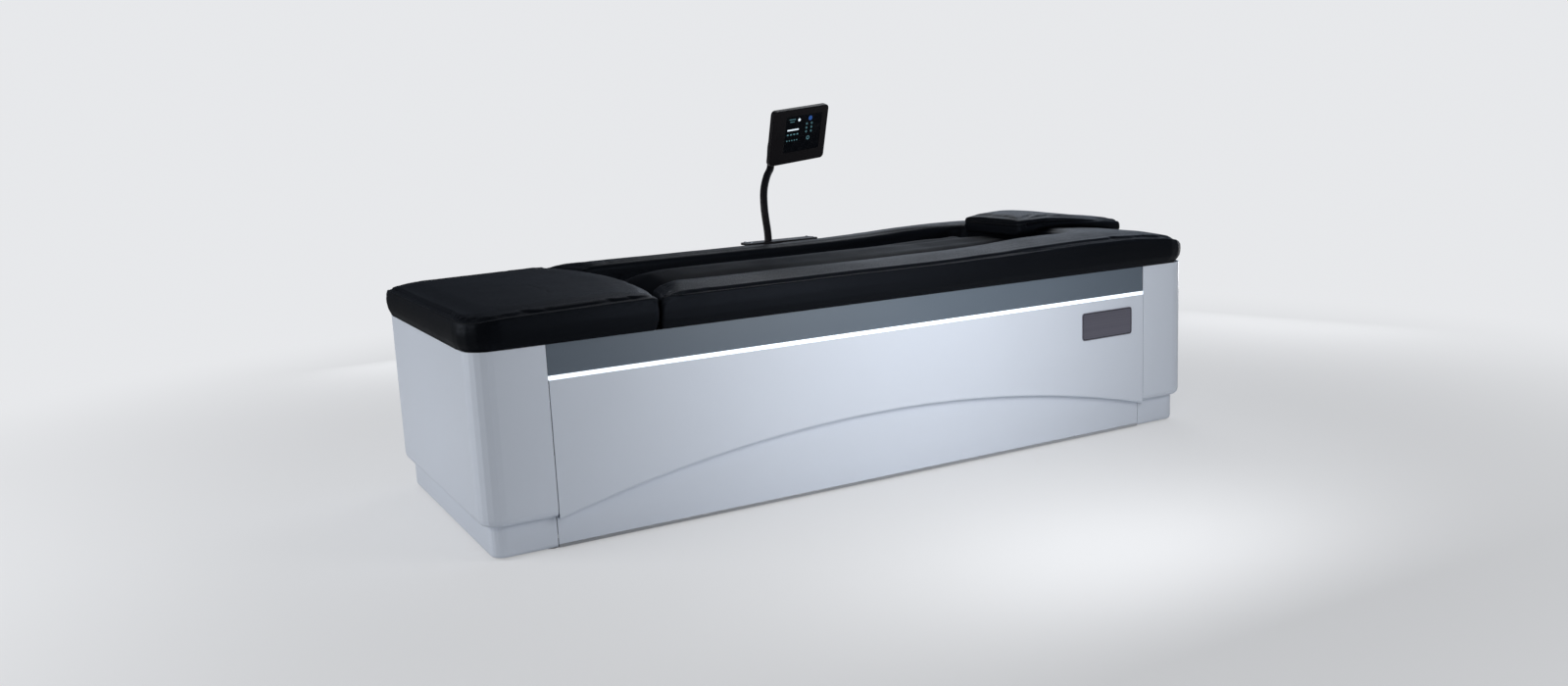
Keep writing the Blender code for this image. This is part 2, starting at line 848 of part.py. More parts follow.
def water_tub():
    """Open tub with a flange, bored for the drive shafts and the pipes."""
    bm = bmesh.new()
    edge = flange_width - fit_gap
    loft(bm, [tub_ring(0, tub_floor_top), tub_ring(0, tub_flange_top), tub_ring(edge, tub_flange_top),
              tub_ring(edge, board_bottom), tub_ring(tub_wall, board_bottom),
              tub_ring(tub_wall, tub_floor_bottom)])
    tub = piece("water_tub", bm, tub_plastic, (trough_mid_x, 0, 0))
    pedestals, bores, boss, holes = (bmesh.new() for _ in range(4))
    for sign in (-1, 1):
        y = sign * guide_half_spacing
        for side in (-1, 1):
            x = side * (trough_half_length - guide_end_gap)
            box(pedestals, (x - pedestal_length / 2, y - pedestal_width / 2, tub_floor_top - tub_wall / 2),
                (x + pedestal_length / 2, y + pedestal_width / 2, tub_floor_top + pedestal_height))
        reach = trough_half_length - guide_end_gap + pedestal_length / 2 + cut_overrun / 2
        swept_tube(bores, [(-reach, y, guide_z), (reach, y, guide_z)], guide_radius + fit_gap)
    turned(boss, [(idler_boss_radius, tub_floor_bottom - idler_boss_height),
                  (idler_boss_radius, tub_floor_top - tub_wall / 2)], centre=(idler_x - trough_mid_x, 0))
    join(tub, pedestals)
    join(tub, boss)
    cut(tub, bores)
    low = tub_floor_bottom - cut_overrun
    high = tub_floor_top + cut_overrun
    shaft = pulley_shaft_radius + shaft_clearance
    for x, y, radius, floor in ((drive_x, 0, shaft, low),
                                (idler_x, 0, shaft, tub_floor_bottom - shaft_reach - shaft_clearance),
                                (sump_x, pump_y, pipe_radius - pipe_wall, low),
                                (drain_x, drain_y, drain_pipe_radius - pipe_wall, low)):
        turned(holes, [(radius, floor), (radius, high)], centre=(x - trough_mid_x, y))
    wall_x = trough_foot_x - trough_mid_x
    swept_tube(holes, [(wall_x - tub_wall - cut_overrun, inlet_y, heater_z),
                       (wall_x + cut_overrun, inlet_y, heater_z)], pipe_radius - pipe_wall)
    cut(tub, holes)


def dome_lines():
    """Y places of the membrane's long mesh lines, as shares of the half width of the well."""
    shares = (0.0, 0.34, 0.62, 0.80, 0.91, 0.97, 1.0)
    inner = rail_pad_inner_y - dome_edge_clearance
    side = [inner * share for share in shares] + [trough_half_width + membrane_grip]
    return [-y for y in side[:0:-1]] + side


def dome_shares():
    """Where the membrane's cross lines lie along the dome, as shares of its length."""
    return (0.0, 0.012, 0.03, 0.06, 0.11, 0.25, 0.45, 0.65, 0.80, 0.88, 0.94, 0.975, 0.992, 1.0)


def arc_x(y):
    """X of the arc seam between the foot pad and the rails."""
    return arc_centre_x + math.sqrt(arc_radius ** 2 - y ** 2)


def dome_rise(x, y, start, end):
    """Height of the water-filled membrane above its clamped edge."""
    across = min(1.0, abs(y) / (rail_pad_inner_y - dome_edge_clearance))
    swell = 1 - across ** dome_power
    foot = 1 - (1 - min(1.0, max(0, x - start) / dome_foot_ramp)) ** dome_power
    head = 1 - (1 - min(1.0, max(0, end - x) / dome_head_ramp)) ** dome_power
    return dome_height * swell * foot * head


def membrane_columns(y):
    """X places of the cross lines at one y: the clamped edges and the dome between them."""
    start = arc_x(min(abs(y), rail_pad_inner_y)) + dome_edge_clearance
    end = well_head_x - dome_edge_clearance
    inside = [start + share * (end - start) for share in dome_shares()]
    edges = (trough_foot_x - membrane_grip, trough_head_x + membrane_grip)
    return [edges[0]] + inside + [edges[1]], start, end


def rim_of(rows):
    """Outer points of a grid of rows, in order round it."""
    return [row[0] for row in rows] + rows[-1][1:] + [row[-1] for row in rows[-2::-1]] + rows[0][-2:0:-1]


def membrane():
    """Waterproof sheet, clamped flat at its edges and domed over the water."""
    bm = bmesh.new()
    layers = []
    for base in (membrane_bottom, membrane_top):
        rows = []
        for y in dome_lines():
            columns, start, end = membrane_columns(y)
            rows.append([bm.verts.new((x, y, base + dome_rise(x, y, start, end))) for x in columns])
        layers.append(rows)
    for rows in layers:
        for first, second in zip(rows, rows[1:]):
            for i in range(len(first) - 1):
                bm.faces.new((first[i], first[i + 1], second[i + 1], second[i]))
    lower, upper = rim_of(layers[0]), rim_of(layers[1])
    for i in range(len(lower)):
        j = (i + 1) % len(lower)
        bm.faces.new((lower[i], lower[j], upper[j], upper[i]))
    piece("membrane", bm, black_vinyl)


def level_ring(low_x, high_x, side, corner, height, steps=4):
    """Level rounded outline between two x places."""
    outline = rounded_rect(high_x - low_x, 2 * side, corner, steps, ((low_x + high_x) / 2, 0))
    return [(u, v, height) for u, v in outline]


def clamp_frame():
    """Frame that presses the membrane on the tub's flange."""
    bm = bmesh.new()
    edge = flange_width - fit_gap
    rings = []
    for outset, height in ((0, clamp_bottom), (edge, clamp_bottom), (edge, deck_top), (0, deck_top)):
        rings.append(level_ring(trough_foot_x - outset, trough_head_x + outset,
                                trough_half_width + outset, tub_corner, height))
    loft(bm, rings, closed=True)
    piece("clamp_frame", bm, zinc)


def deck_board():
    """Plywood board under the upholstery, round the clamp frame, drilled for the arm's mount."""
    bm = bmesh.new()
    end = half_length - board_inset
    side = half_width - board_inset
    rings = []
    for height, outer in ((board_bottom, False), (board_bottom, True), (deck_top, True), (deck_top, False)):
        if outer:
            rings.append(level_ring(-end, end, side, cover_corner_radius, height))
        else:
            rings.append(level_ring(trough_foot_x - flange_width, trough_head_x + flange_width,
                                    trough_half_width + flange_width, tub_corner, height))
    loft(bm, rings, closed=True)
    board = piece("deck_board", bm, plywood)
    drill = bmesh.new()
    turned(drill, [(socket_radius + socket_wall_gap, board_bottom - cut_overrun),
                   (socket_radius + socket_wall_gap, deck_top + cut_overrun)], centre=(arm_x, arm_y))
    cut(board, drill)


# Upholstery

def foot_outline(inset):
    """Outline of the foot pad, drawn in from its widest line."""
    side = top_half_width - inset
    left = -top_half_length + inset
    corner = pad_corner_radius - inset * foot_pad_corner_shrink_share
    side_shares = (0.33, 0.66)
    reach = arc_radius - inset
    points = []
    turns = math.asin(side / reach)
    for step in range(13):
        angle = turns * (1 - step / 6)
        points.append((arc_centre_x + reach * math.cos(angle), reach * math.sin(angle)))
    right = points[-1][0]
    for share in side_shares:
        points.append((right + (left + corner - right) * share, -side))
    for centre_y, first in ((-side + corner, 3), (side - corner, 2)):
        for step in range(6):
            angle = quarter_turn * (first - step / 5)
            points.append((left + corner + corner * math.cos(angle), centre_y + corner * math.sin(angle)))
    for share in side_shares[::-1]:
        points.append((right + (left + corner - right) * share, side))
    return points


def foot_pad():
    """Foot pad: drawn-in sides, a crease round the top edge and a low crown."""
    # Each row is an inset as a share of the crown's run, then the shares of side and crown height
    rows_shares = ((0.040, 0.0, 0.0), (0.010, 0.30, 0.0), (0.0, 0.62, 0.0), (0.010, 0.88, 0.0),
                   (0.024, 1.0, 0.0), (0.075, 1.0, 0.40), (0.17, 1.0, 0.68), (0.37, 1.0, 0.90),
                   (0.68, 1.0, 0.98), (1.0, 1.0, 1.0))
    run = top_half_width * foot_pad_run_share
    length = arc_apex_x + top_half_length
    bm = bmesh.new()
    rings = []
    for inset_share, side_share, crown_share in rows_shares:
        ring = []
        for x, y in foot_outline(run * inset_share):
            level = side_share * pad_side + crown_share * pad_crown
            drop = foot_pad_drop * side_share * (arc_apex_x - x) / length
            ring.append((x, y, level - drop))
        rings.append(ring)
    loft(bm, rings)
    piece("foot_pad", bm, black_vinyl, (0, 0, pad_bottom))


def pad_rise(x, side_share, crown_share):
    """Gentle rise of the rails towards the head end, and the slope of the head end beyond it."""
    edge = 1 - crown_share
    rise = pad_head_rise * ease(x, pad_rise_start_x, pad_rise_end_x) \
        * (crown_share + pad_edge_rise_share * edge)
    run = min(1.0, max(0, (x - pad_drop_start_x) / (top_half_length - pad_drop_start_x)))
    power = pad_edge_drop_power * edge + pad_crown_drop_power * crown_share
    return (rise - pad_head_drop * (1 - pad_crown_keep_share * crown_share) * run ** power) * side_share


def rail_section():
    """Section across a rail: share across from the inner wall, share of side, share of crown."""
    return ((0.020, 0.0, 0.0), (0.0, 0.40, 0.0), (0.0, 1.0, 0.35), (0.035, 1.0, 0.86), (0.14, 1.0, 1.0),
            (0.42, 1.0, 0.96), (0.68, 1.0, 0.74), (0.87, 1.0, 0.42), (0.965, 1.0, 0.0),
            (0.990, 0.88, 0.0), (1.0, 0.62, 0.0), (0.990, 0.28, 0.0), (0.944, 0.0, 0.0))


def edge_on_ray(origin, angle):
    """Point where a ray from inside meets the outer line of the head end."""
    ux, uy = math.cos(angle), math.sin(angle)
    low, high = outer_corner_angles(origin)
    if angle <= low:
        reach = (-top_half_width - origin[1]) / uy
        return origin[0] + ux * reach, -top_half_width
    if angle >= high:
        reach = (top_half_length - origin[0]) / ux
        return top_half_length, origin[1] + uy * reach
    centre_x = top_half_length - pad_corner_radius - origin[0]
    centre_y = -(top_half_width - pad_corner_radius) - origin[1]
    off_line = centre_x * uy - centre_y * ux
    reach = centre_x * ux + centre_y * uy + math.sqrt(max(0, pad_corner_radius ** 2 - off_line ** 2))
    return origin[0] + ux * reach, origin[1] + uy * reach


def outer_corner_angles(origin):
    """Ray angles at which the outer corner's round starts and ends."""
    start = (top_half_length - pad_corner_radius - origin[0], -top_half_width - origin[1])
    end = (top_half_length - origin[0], -(top_half_width - pad_corner_radius) - origin[1])
    return math.atan2(start[1], start[0]), math.atan2(end[1], end[0])


def rail_stations():
    """Stations along the near half of the U: inner point, outer point, crown factor, side factor."""
    stations = []
    run_shares = ((0.0, -0.45, 0.93), (0.030, 0.05, 1.0), (0.11, 0.62, 1.0), (0.30, 1.0, 1.0))
    for run_share, crown_factor, side_factor in run_shares:
        offset = arc_seam + run_share * (top_half_width - rail_pad_inner_y)
        inner = (arc_x(rail_pad_inner_y) + offset, -rail_pad_inner_y)
        outer = (arc_x(top_half_width) + offset, -top_half_width)
        stations.append((inner, outer, crown_factor, side_factor))
    rise_shares = (-1.0, 0.0, 0.35, 0.70)
    for share in rise_shares:
        x = pad_rise_start_x + share * (pad_rise_end_x - pad_rise_start_x)
        stations.append(((x, -rail_pad_inner_y), (x, -top_half_width), 1.0, 1.0))
    pivot = (well_head_x - well_corner, -(rail_pad_inner_y - well_corner))
    low, high = outer_corner_angles(pivot)
    angles = [-quarter_turn + (low + quarter_turn) * i / 4 for i in range(4)] \
        + [low + (high - low) * i / 5 for i in range(6)] + [high / 2, 0]
    for angle in angles:
        inner = (pivot[0] + well_corner * math.cos(angle), pivot[1] + well_corner * math.sin(angle))
        stations.append((inner, edge_on_ray(pivot, angle), 1.0, 1.0))
    stations.append(((well_head_x, 0), (top_half_length, 0), 1.0, 1.0))
    return stations


def surround_pad():
    """U-shaped pad: both rails and the head end in one, with the socket's hole in the far rail."""
    near = rail_stations()
    far = [((i[0], -i[1]), (o[0], -o[1]), c, s) for i, o, c, s in near[-2::-1]]
    bm = bmesh.new()
    rings = []
    for inner, outer, crown_factor, side_factor in near + far:
        ring = []
        for across, side_share, crown_share in rail_section():
            x = inner[0] + across * (outer[0] - inner[0])
            y = inner[1] + across * (outer[1] - inner[1])
            follow = arc_follow(y, inner, outer)
            crown = pad_crown * crown_factor * crown_share if crown_factor >= 0 \
                else pad_crown * crown_factor * min(1.0, side_share * side_share)
            level = side_share * side_factor * pad_side + crown + pad_rise(x, side_share, crown_share)
            ring.append((x + follow, y, level))
        rings.append(ring)
    loft(bm, rings)
    pad = piece("surround_pad", bm, black_vinyl, (0, 0, pad_bottom + pad_slack))
    hole = bmesh.new()
    turned(hole, [(socket_radius + socket_wall_gap, -cut_overrun),
                  (socket_radius + socket_wall_gap, pad_side + pad_crown + cut_overrun)],
           centre=(arm_x, arm_y))
    cut(pad, hole)


def arc_follow(y, inner, outer):
    """Bend of a rail's end stations so that they follow the arc seam and not a straight line."""
    if inner[0] <= outer[0]:
        return 0
    straight = arc_x(inner[1]) + (arc_x(outer[1]) - arc_x(inner[1])) \
        * (y - inner[1]) / (outer[1] - inner[1])
    return arc_x(y) - straight


def pillow_section(x_share):
    """Shares of the pillow's full width and height at a share of its length."""
    # Each row is the shares of length, width and height
    shares = ((0.0, 0.94, 0.78), (0.015, 0.975, 0.92), (0.05, 0.99, 0.98), (0.12, 1.0, 1.0),
              (0.30, 0.99, 1.0), (0.50, 0.985, 0.98), (0.75, 0.99, 1.0), (0.93, 0.99, 1.0),
              (0.98, 0.985, 0.96), (1.0, 0.965, 0.80))
    for low, high in zip(shares, shares[1:]):
        if low[0] <= x_share <= high[0]:
            t = (x_share - low[0]) / (high[0] - low[0])
            return [a + (b - a) * t for a, b in zip(low[1:], high[1:])]


def pillow():
    """Contoured head pillow: thick at the neck, thinner down the slope of the head end."""
    section_shares = ((0.93, 0.0), (1.0, 0.25), (1.0, 0.62), (0.955, 0.86), (0.80, 0.955), (0.45, 0.99),
                      (0.0, 1.0))
    length_shares = (0.0, 0.015, 0.05, 0.12, 0.20, 0.28, 0.36, 0.42, 0.50, 0.64, 0.80, 0.93, 0.98, 1.0)
    rest_shares, crest_shares = (0.10, 0.229), (0.25, 1.0)
    slope_start_share, slope_power = 0.374, 1.7
    neck_crest_z = pillow_rest_z + pillow_neck_height
    head_crest_z = pillow_head_rest_z + pillow_head_height
    bm = bmesh.new()
    rings = []
    for x_share in length_shares:
        width_share, height_share = pillow_section(x_share)
        rest = pillow_rest_z + (pillow_block_rest_z - pillow_rest_z) * ease(x_share, *rest_shares)
        slope = max(0, x_share - slope_start_share) / (1 - slope_start_share)
        rest -= pillow_head_drop * slope ** slope_power
        crest = neck_crest_z + (head_crest_z - neck_crest_z) * ease(x_share, *crest_shares)
        crest -= pillow_foot_dip * (1 - ease(x_share, 0, crest_shares[0]))
        middle = (rest + crest) / 2
        x = pillow_foot_x + pillow_length * x_share
        right = []
        for across, up in section_shares:
            z = rest + (crest - rest) * up
            right.append((pillow_half_width * width_share * across, middle + (z - middle) * height_share))
        ring = [(x, y, z) for y, z in right] + [(x, -y, z) for y, z in right[-2::-1]]
        rings.append(ring)
    loft(bm, [[(x - pillow_foot_x, y, z - pillow_rest_z) for x, y, z in ring] for ring in rings])
    piece("pillow", bm, black_vinyl, (pillow_foot_x, 0, pillow_rest_z))


def ease(value, low, high):
    """Smooth step from 0 at low to 1 at high."""
    t = min(1.0, max(0, (value - low) / (high - low)))
    return t * t * (3 - 2 * t)


# Guide rails, carriage and jets

def guide_rails():
    """Two rods between the tub's pedestals."""
    for name, sign in (("near_guide_rail", -1), ("far_guide_rail", 1)):
        bm = bmesh.new()
        reach = trough_half_length - guide_end_gap + pedestal_length / 2
        swept_tube(bm, [(-reach, 0, 0), (reach, 0, 0)], guide_radius)
        piece(name, bm, zinc, (trough_mid_x, sign * guide_half_spacing, guide_z))


def carriage():
    """Carriage plate with four plain bearings under it."""
    bm = bmesh.new()
    low = carriage_bottom - guide_z
    box(bm, (-carriage_half_length, -carriage_half_width, low),
        (carriage_half_length, carriage_half_width, low + carriage_plate_thickness))
    plate = piece("jet_carriage", bm, zinc, (carriage_centre_x, 0, guide_z))
    blocks, drills = bmesh.new(), bmesh.new()
    for sign in (-1, 1):
        y = sign * guide_half_spacing
        for x in (-bearing_offset, bearing_offset):
            box(blocks, (x - bearing_length / 2, y - bearing_half_width, -bearing_below),
                (x + bearing_length / 2, y + bearing_half_width, low + carriage_plate_thickness / 2))
        swept_tube(drills, [(-carriage_half_length, y, 0), (carriage_half_length, y, 0)],
                   guide_radius + bearing_clearance)
    join(plate, blocks)
    cut(plate, drills)


def belt_clamp():
    """Clamp under the carriage that grips one run of the belt."""
    bm = bmesh.new()
    low = belt_bottom - clamp_below
    box(bm, (-clamp_half_length, belt_pitch_radius - clamp_margin, low),
        (clamp_half_length, belt_pitch_radius + belt_thickness + clamp_margin,
         carriage_bottom - fit_gap))
    clamp = piece("belt_clamp", bm, black_plastic, (carriage_centre_x, 0, 0))
    slot = bmesh.new()
    box(slot, (-clamp_half_length - cut_overrun, belt_pitch_radius - belt_clearance,
               belt_bottom - belt_clearance),
        (clamp_half_length + cut_overrun, belt_pitch_radius + belt_thickness + belt_clearance,
         belt_bottom + belt_height + belt_clearance))
    cut(clamp, slot)


def jet_manifold():
    """Water manifold with two risers that feed the spinning jets."""
    bm = bmesh.new()
    box(bm, (-manifold_half_length, -manifold_half_width, 0),
        (manifold_half_length, manifold_half_width, manifold_height))
    manifold = piece("jet_manifold", bm, black_plastic, (carriage_centre_x, 0, manifold_bottom))
    risers = bmesh.new()
    for sign in (-1, 1):
        turned(risers, [(riser_radius, manifold_height - cut_overrun),
                        (riser_radius, manifold_height + riser_height)],
               centre=(0, sign * rotor_half_spacing))
    join(manifold, risers)


def jet_rotor(name, y):
    """Hub with two arms and two upright nozzles; its origin is on its spin axis."""
    hub = bmesh.new()
    turned(hub, [(rotor_hub_radius, 0), (rotor_hub_radius, rotor_hub_height)])
    rotor = piece(name, hub, brushed_metal, (carriage_centre_x, y, rotor_bottom))
    arm = bmesh.new()
    middle = rotor_hub_height / 2
    box(arm, (-rotor_arm_half_width, -rotor_arm_half_length, middle - rotor_arm_half_height),
        (rotor_arm_half_width, rotor_arm_half_length, middle + rotor_arm_half_height))
    join(rotor, arm)
    nozzles = bmesh.new()
    low = middle - rotor_arm_half_height - cut_overrun
    for sign in (-1, 1):
        turned(nozzles, [(nozzle_radius, low), (nozzle_radius, middle + rotor_arm_half_height),
                         (nozzle_tip_radius, nozzle_height), (nozzle_bore, nozzle_height),
                         (nozzle_bore, middle + rotor_arm_half_height)],
               centre=(0, sign * rotor_arm_half_length))
    join(rotor, nozzles)


def carriage_hose():
    """Slack hose from the tub's water inlet to the manifold."""
    bm = bmesh.new()
    start = (trough_foot_x + fit_gap, inlet_y, heater_z)
    end = (carriage_centre_x - manifold_half_length - fit_gap, hose_port_y,
           manifold_bottom + manifold_height / 2)
    # Shares of the way from the inlet to the manifold, along X, Y and Z
    route_shares = ((0.06, 0.0, 0.0), (0.40, 0.30, 0.50), (0.70, 0.50, 1.0), (0.94, 1.0, 1.0))
    points = [[a + (b - a) * share for a, b, share in zip(start, end, shares)] for shares in route_shares]
    swept_tube(bm, [start] + smooth_path(points, 4) + [end], hose_radius, 8)
    piece("carriage_hose", bm, black_rubber)


# Belt drive

def belt_outline(radius):
    """Stadium outline round both pulleys."""
    points = []
    for centre_x, first in ((idler_x, -quarter_turn), (drive_x, quarter_turn)):
        for step in range(9):
            angle = first + half_turn * step / 8
            points.append((centre_x + radius * math.cos(angle), radius * math.sin(angle)))
    return points


def drive_belt():
    bm = bmesh.new()
    inner = belt_outline(belt_pitch_radius)
    outer = belt_outline(belt_pitch_radius + belt_thickness)
    top = belt_bottom + belt_height
    loft(bm, [[(x, y, z) for x, y in outline] for outline, z in
              ((inner, belt_bottom), (outer, belt_bottom), (outer, top), (inner, top))], closed=True)
    piece("drive_belt", bm, black_rubber)


def pulley(name, x, shaft_bottom):
    """Flanged pulley with its shaft; its origin is on the spin axis."""
    bm = bmesh.new()
    low = belt_bottom - belt_clearance
    high = belt_bottom + belt_height + belt_clearance
    core = belt_pitch_radius * math.cos(half_turn / 16) - belt_clearance
    rim = belt_pitch_radius + pulley_flange
    turned(bm, [(pulley_shaft_radius, shaft_bottom), (pulley_shaft_radius, low - pulley_flange_thickness),
                (rim, low - pulley_flange_thickness), (rim, low), (core, low), (core, high),
                (rim, high), (rim, high + pulley_flange_thickness)], 16)
    piece(name, bm, zinc, (x, 0, 0))


def drive_units():
    """Both pulleys, and the gear motor under the tub."""
    motor_top = tub_floor_bottom - fit_gap
    pulley("drive_pulley", drive_x, motor_top - shaft_reach)
    pulley("idler_pulley", idler_x, motor_top - shaft_reach)
    bore = pulley_shaft_radius + shaft_clearance
    floor = motor_top - shaft_reach - shaft_clearance
    motor = bmesh.new()
    turned(motor, [(motor_radius, motor_top - motor_height),
                   (motor_radius, motor_top - motor_flange_thickness),
                   (motor_flange_radius, motor_top - motor_flange_thickness),
                   (motor_flange_radius, motor_top), (bore, motor_top), (bore, floor)], 16)
    piece("drive_motor", motor, steel_frame, (drive_x, 0, 0))


# Pump, pipes and heater

def pump_motor():
    """Motor on its foot, bored for the impeller's shaft."""
    face = housing_face_x - fit_gap
    back = face - pump_motor_length
    bm = bmesh.new()
    groove = pump_motor_radius - pump_motor_groove
    turned(bm, [(groove, 0), (groove, pump_motor_cap), (pump_motor_radius, pump_motor_cap),
                (pump_motor_radius, pump_motor_length - pump_motor_cap),
                (groove, pump_motor_length - pump_motor_cap), (groove, pump_motor_length)], 16)
    motor = piece("pump_motor", bm, pump_paint, (back, pump_y, pump_axis_z), (0, quarter_turn, 0))
    foot = bmesh.new()
    drop = pump_axis_z - pump_tray_top - fit_gap
    middle = pump_motor_length / 2
    box(foot, (pump_motor_radius - pump_motor_groove * 2, -pump_foot_half_width,
               middle - pump_foot_half_length),
        (drop, pump_foot_half_width, middle + pump_foot_half_length))
    join(motor, foot)
    bore = bmesh.new()
    turned(bore, [(impeller_shaft_radius + shaft_clearance,
                   pump_motor_length - impeller_shaft_reach - shaft_clearance),
                  (impeller_shaft_radius + shaft_clearance, pump_motor_length + cut_overrun)])
    cut(motor, bore)


def pump_housing():
    """Cup that holds the impeller, with the inlet in front and the outlet on top."""
    bm = bmesh.new()
    cavity = housing_radius - housing_wall
    floor = housing_length - housing_wall
    neck = housing_length + housing_neck_length
    turned(bm, [(cavity, 0), (housing_radius, 0), (housing_radius, housing_length),
                (housing_neck_radius, housing_length), (housing_neck_radius, neck),
                (port_radius, neck), (port_radius, floor), (cavity, floor)], 16, hollow=True)
    housing = piece("pump_housing", bm, black_plastic, (housing_face_x, pump_y, pump_axis_z),
                    (0, quarter_turn, 0))
    along = housing_length / 2
    stub = bmesh.new()
    swept_tube(stub, [(-cavity - housing_wall / 2, 0, along), (-outlet_height, 0, along)], outlet_radius)
    join(housing, stub)
    bore = bmesh.new()
    swept_tube(bore, [(-cavity + cut_overrun, 0, along), (-outlet_height - cut_overrun, 0, along)],
               port_radius - pipe_wall)
    cut(housing, bore)


def pump_impeller():
    """Disc with straight vanes and a shaft; its origin is on the spin axis."""
    bm = bmesh.new()
    turned(bm, [(impeller_shaft_radius, -impeller_gap - impeller_shaft_reach),
                (impeller_shaft_radius, 0), (impeller_radius, 0), (impeller_radius, impeller_disc)], 16)
    impeller = piece("pump_impeller", bm, brushed_metal,
                     (housing_face_x + impeller_gap, pump_y, pump_axis_z), (0, quarter_turn, 0))
    vanes = bmesh.new()
    for i in range(impeller_vanes):
        angle = 2 * math.pi * i / impeller_vanes
        ways = Vector((math.cos(angle), math.sin(angle), 0)), Vector((-math.sin(angle), math.cos(angle), 0))
        inner, outer = ways[0] * impeller_shaft_radius, ways[0] * (impeller_radius - impeller_gap)
        side = ways[1] * impeller_vane_thickness / 2
        corners = (inner - side, outer - side, outer + side, inner + side)
        low, high = impeller_disc / 2, impeller_disc + impeller_vane_depth
        loft(vanes, [[(c.x, c.y, z) for c in corners] for z in (low, high)])
    join(impeller, vanes)


def pipes():
    """Suction pipe from the tub's sump, and the feed pipe from the pump to the heater."""
    sump_end = (sump_x, pump_y, tub_floor_bottom - fit_gap)
    neck_end = (housing_front_x + housing_neck_length + fit_gap, pump_y, pump_axis_z)
    suction = bmesh.new()
    swept_tube(suction, elbow(sump_end, (sump_x, pump_y, pump_axis_z), neck_end, pipe_bend), pipe_radius)
    piece("suction_pipe", suction, black_rubber)
    feed = bmesh.new()
    heater_end = (outlet_x, heater_half_length + fit_gap, heater_z)
    swept_tube(feed, elbow((outlet_x, pump_y, outlet_top + fit_gap), (outlet_x, pump_y, heater_z),
                           heater_end, pipe_bend), port_radius)
    piece("feed_pipe", feed, black_rubber)


def heater():
    """In-line water heater with the pipe that takes its water into the tub."""
    bm = bmesh.new()
    length = 2 * heater_half_length
    turned(bm, [(heater_cap_radius, 0), (heater_cap_radius, heater_cap), (heater_radius, heater_cap),
                (heater_radius, length - heater_cap), (heater_cap_radius, length - heater_cap),
                (heater_cap_radius, length)], 16)
    body = piece("water_heater", bm, brushed_metal, (outlet_x, -heater_half_length, heater_z),
                 (-quarter_turn, 0, 0))
    outlet = bmesh.new()
    run = inlet_y + heater_half_length
    tub_side = trough_foot_x - tub_wall - fit_gap - outlet_x
    swept_tube(outlet, elbow((0, 0, heater_cap / 2), (0, 0, run), (tub_side, 0, run), pipe_bend),
               port_radius)
    join(body, outlet)


def drain_valve():
    """Drain pipe with a quarter-turn valve and its lever."""
    bm = bmesh.new()
    top = tub_floor_bottom - fit_gap
    body_top_z = top - valve_neck
    body_bottom_z = body_top_z - valve_body_height
    turned(bm, [(drain_pipe_radius, top - drain_length), (drain_pipe_radius, body_bottom_z),
                (valve_body_radius, body_bottom_z), (valve_body_radius, body_top_z),
                (drain_pipe_radius, body_top_z), (drain_pipe_radius, top)])
    valve = piece("drain_valve", bm, brushed_metal, (drain_x, drain_y, 0))
    stem = bmesh.new()
    middle = (body_top_z + body_bottom_z) / 2
    swept_tube(stem, [(0, 0, middle), (0, valve_body_radius + valve_stem_length, middle)],
               valve_stem_radius)
    join(valve, stem)
    lever = bmesh.new()
    bore = valve_stem_radius + shaft_clearance
    turned(lever, [(bore, 0), (lever_hub_radius, 0), (lever_hub_radius, lever_thickness),
                   (bore, lever_thickness)], hollow=True)
    seat = drain_y + valve_body_radius + fit_gap * 2
    handle = piece("drain_lever", lever, black_plastic, (drain_x, seat, middle), (-quarter_turn, 0, 0))
    grip = bmesh.new()
    box(grip, (lever_hub_radius - lever_thickness / 2, -lever_half_width, 0),
        (lever_length, lever_half_width, lever_thickness))
    join(handle, grip)


# Electrics

def control_box():
    """Lidded box for the electronics, on two cross tubes at the head end."""
    places = cross_places()
    low_x, high_x = places[3] - box_overlap, places[4] + box_overlap
    low_y, high_y = box_centre_y - box_half_width, box_centre_y + box_half_width
    low_z = base_top + fit_gap
    bm = bmesh.new()
    rings = []
    for inset, z in ((box_wall, low_z + box_wall), (box_wall, low_z + box_height),
                     (0, low_z + box_height), (0, low_z)):
        rings.append([(low_x + inset, low_y + inset, z), (high_x - inset, low_y + inset, z),
                      (high_x - inset, high_y - inset, z), (low_x + inset, high_y - inset, z)])
    loft(bm, rings)
    piece("control_box", bm, zinc)
    lid = bmesh.new()
    top = low_z + box_height + fit_gap
    box(lid, (low_x, low_y, top), (high_x, high_y, top + box_lid_height))
    piece("control_box_lid", lid, steel_frame)


